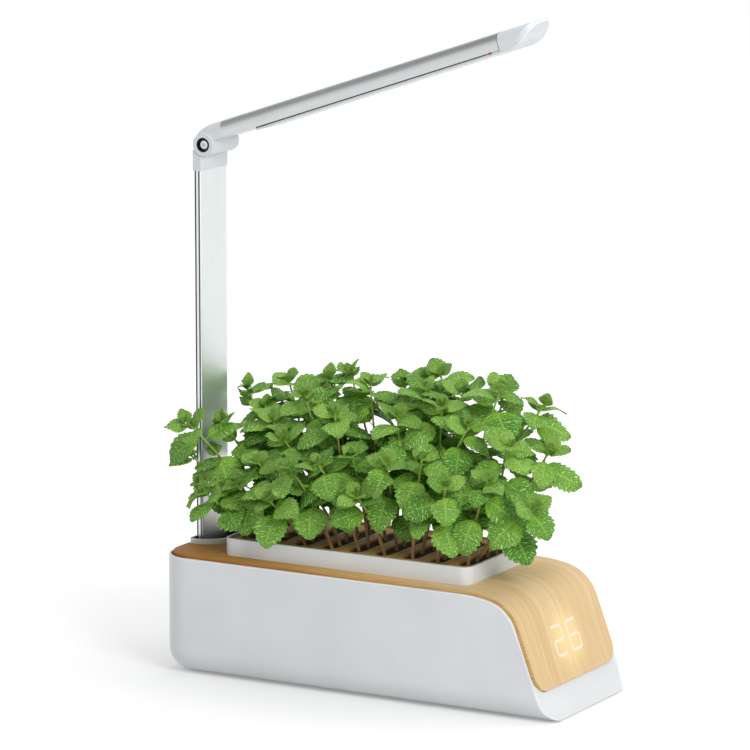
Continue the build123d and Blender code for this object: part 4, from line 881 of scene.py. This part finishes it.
add_bar(
    "tip_gasket", bar(joint_line(), ARM_ALONG, JOINT_GASKET, JOINT_GASKET), "lamp_arm",
    gasket_rubber,
)

# A dark gasket fills the slit between the shell and the diffuser, and ends at a small red light.
SLIT_UP, SLIT_START, SLIT_END, SLIT_WIDTH, SLIT_HEIGHT, SLIT_INSET = 0.7, 54.6, 287.9, 1.1, 1.5, 0.45
LIGHT_PLACE, LIGHT_HALF, LIGHT_WIDTH, LIGHT_HEIGHT, LIGHT_INSET = 290.5, 2.4, 1.6, 1.9, 0.3

slit = np.linspace(SLIT_START, SLIT_END, 3)
for name, side in (("near_gasket", -1), ("far_gasket", 1)):
    strip = bar(on_arm(slit, side * (ARM_HALF - SLIT_INSET), SLIT_UP), ARM_UP, SLIT_WIDTH, SLIT_HEIGHT)
    add_bar(name, strip, "lamp_arm", gasket_rubber)

# The light's bulb is an ellipsoid: its section swells as the root of 1 - q^2 from end to end.
q = np.linspace(-0.98, 0.98, 11)
swell = np.sqrt(1 - q ** 2)
bulb = bar(
    on_arm(LIGHT_PLACE + LIGHT_HALF * q, -(ARM_HALF - LIGHT_INSET), SLIT_UP), ARM_UP,
    LIGHT_WIDTH * swell, LIGHT_HEIGHT * swell,
)
add_bar("side_light", bulb, "lamp_arm", red_acrylic)


# ---------------------------------------------------------------- floor, light and camera
scene = bpy.context.scene
scene.view_settings.view_transform = "Standard"

FLOOR_HALF = 20
corners = [(x * FLOOR_HALF, y * FLOOR_HALF, 0) for x, y in ((-1, -1), (1, -1), (1, 1), (-1, 1))]
floor_mesh = bpy.data.meshes.new("floor")
floor_mesh.from_pydata(corners, [], [(0, 1, 2, 3)])
floor = bpy.data.objects.new("floor", floor_mesh)
scene.collection.objects.link(floor)


def seen_directly(tree):
    """One for a ray from the camera, or reflected or refracted, and none for the light that it casts."""
    straight, mirrored, refracted = (
        add(tree, "LightPath", out=name) for name in ("Is Camera Ray", "Is Glossy Ray", "Is Transmission Ray")
    )
    opaque = add(tree, "Math", {0: straight, 1: mirrored}, operation="MAXIMUM")
    return add(tree, "Math", {0: opaque, 1: refracted}, operation="MAXIMUM")


# Matt backdrop paper has no gloss. Its fibres are drawn coarser than real ones, 3 mm, so that they show.
paper = bpy.data.materials.new("matt_white_paper")
paper.use_nodes = True
tree = paper.node_tree
tree.nodes.clear()
fibres = add(tree, "TexNoise", {
    "Vector": add(tree, "TexCoord", out="Object"), "Scale": per_metre(3), "Detail": 3,
})
sheet = add(tree, "ValToRGB", {0: fibres}, stops=[(0.3, linear("#e9e8e7")), (0.7, linear("#ededec"))])
# Away from the object the paper glows more, and so stays white where the lamps don't reach.
away = add(tree, "VectorMath", {0: add(tree, "TexCoord", out="Object")}, "Value", operation="LENGTH")
glow = add(tree, "ValToRGB", {0: away}, stops=[(0.12, 0.22), (0.5, 0.42), (1.0, 0.56)])
lit = add(tree, "AddShader", {
    0: add(tree, "BsdfDiffuse", {"Color": sheet}),
    1: add(tree, "Emission", {
        "Strength": add(tree, "Math", {0: seen_directly(tree), 1: glow}, operation="MULTIPLY"),
    }),
})
feed(tree.nodes.new("ShaderNodeOutputMaterial"), {"Surface": lit})
floor_mesh.materials.append(paper)

# A studio tent: white round the horizon, where its lamps shine in, and greyer overhead.
world = bpy.data.worlds.new("studio_tent")
scene.world = world
world.use_nodes = True
tree = world.node_tree
tree.nodes.clear()
upward = add(tree, "SeparateXYZ", {0: add(tree, "TexCoord", out="Generated")}, 2)
dome = add(tree, "ValToRGB", {0: upward}, stops=[
    (0.0, 1.0), (0.3, 0.9), (0.6, 0.36), (0.85, 0.32), (1.0, 0.6),
])
camera_ray = add(tree, "LightPath", out="Is Camera Ray")
glossy_ray = add(tree, "LightPath", out="Is Glossy Ray")
unlit = add(tree, "Mix", {0: glossy_ray, 6: linear("#fbfcff"), 7: dome}, 2, data_type="RGBA")
shown = add(tree, "Mix", {0: camera_ray, 6: unlit, 7: (1.0, 1.0, 1.0, 1.0)}, 2, data_type="RGBA")
strength = add(tree, "Math", {0: seen_directly(tree), 1: 0.46, 2: 0.54}, operation="MULTIPLY_ADD")
feed(tree.nodes.new("ShaderNodeOutputWorld"), {
    "Surface": add(tree, "Background", {"Color": shown, "Strength": strength}),
})


def soft_box(name, place, target, size, power):
    """A rectangular lamp at a place, facing a target, in metres and watts."""
    lamp = bpy.data.lights.new(name, "AREA")
    lamp.shape, lamp.size, lamp.size_y, lamp.energy = "RECTANGLE", size[0], size[1], power
    hung = bpy.data.objects.new(name, lamp)
    heading = Vector(target) - Vector(place)
    hung.matrix_world = Matrix.Translation(place) @ heading.to_track_quat("-Z", "Y").to_matrix().to_4x4()
    scene.collection.objects.link(hung)


soft_box("key_soft_box", (1.6, -0.9, 1.3), (0.0, 0.0, 0.15), (0.9, 0.9), 20)
soft_box("top_soft_box", (0.1, 0.5, 1.9), (0.0, 0.0, 0.1), (1.4, 0.8), 9)

# The camera looks down at the long side and the sloping front from a distance of four metres, with a
# long lens. Its angles are in radians.
AZIMUTH, ELEVATION = 0.5112583, 0.1884128
CAMERA_PLACE = (1.944841, -3.497323, 1.028037)
SENSOR_MM, FOCAL_MM, FAR_CLIP = 36.0, 231.40, 100.0
right = Vector((np.cos(AZIMUTH), np.sin(AZIMUTH), 0.0))
back = Vector((
    np.sin(AZIMUTH) * np.cos(ELEVATION), -np.cos(AZIMUTH) * np.cos(ELEVATION), np.sin(ELEVATION),
))
aim = Matrix((right, back.cross(right), back)).transposed().to_4x4()
lens = bpy.data.cameras.new("camera")
lens.sensor_width, lens.lens, lens.clip_end = SENSOR_MM, FOCAL_MM, FAR_CLIP
camera = bpy.data.objects.new("camera", lens)
camera.matrix_world = Matrix.Translation(CAMERA_PLACE) @ aim
scene.collection.objects.link(camera)
scene.camera = camera
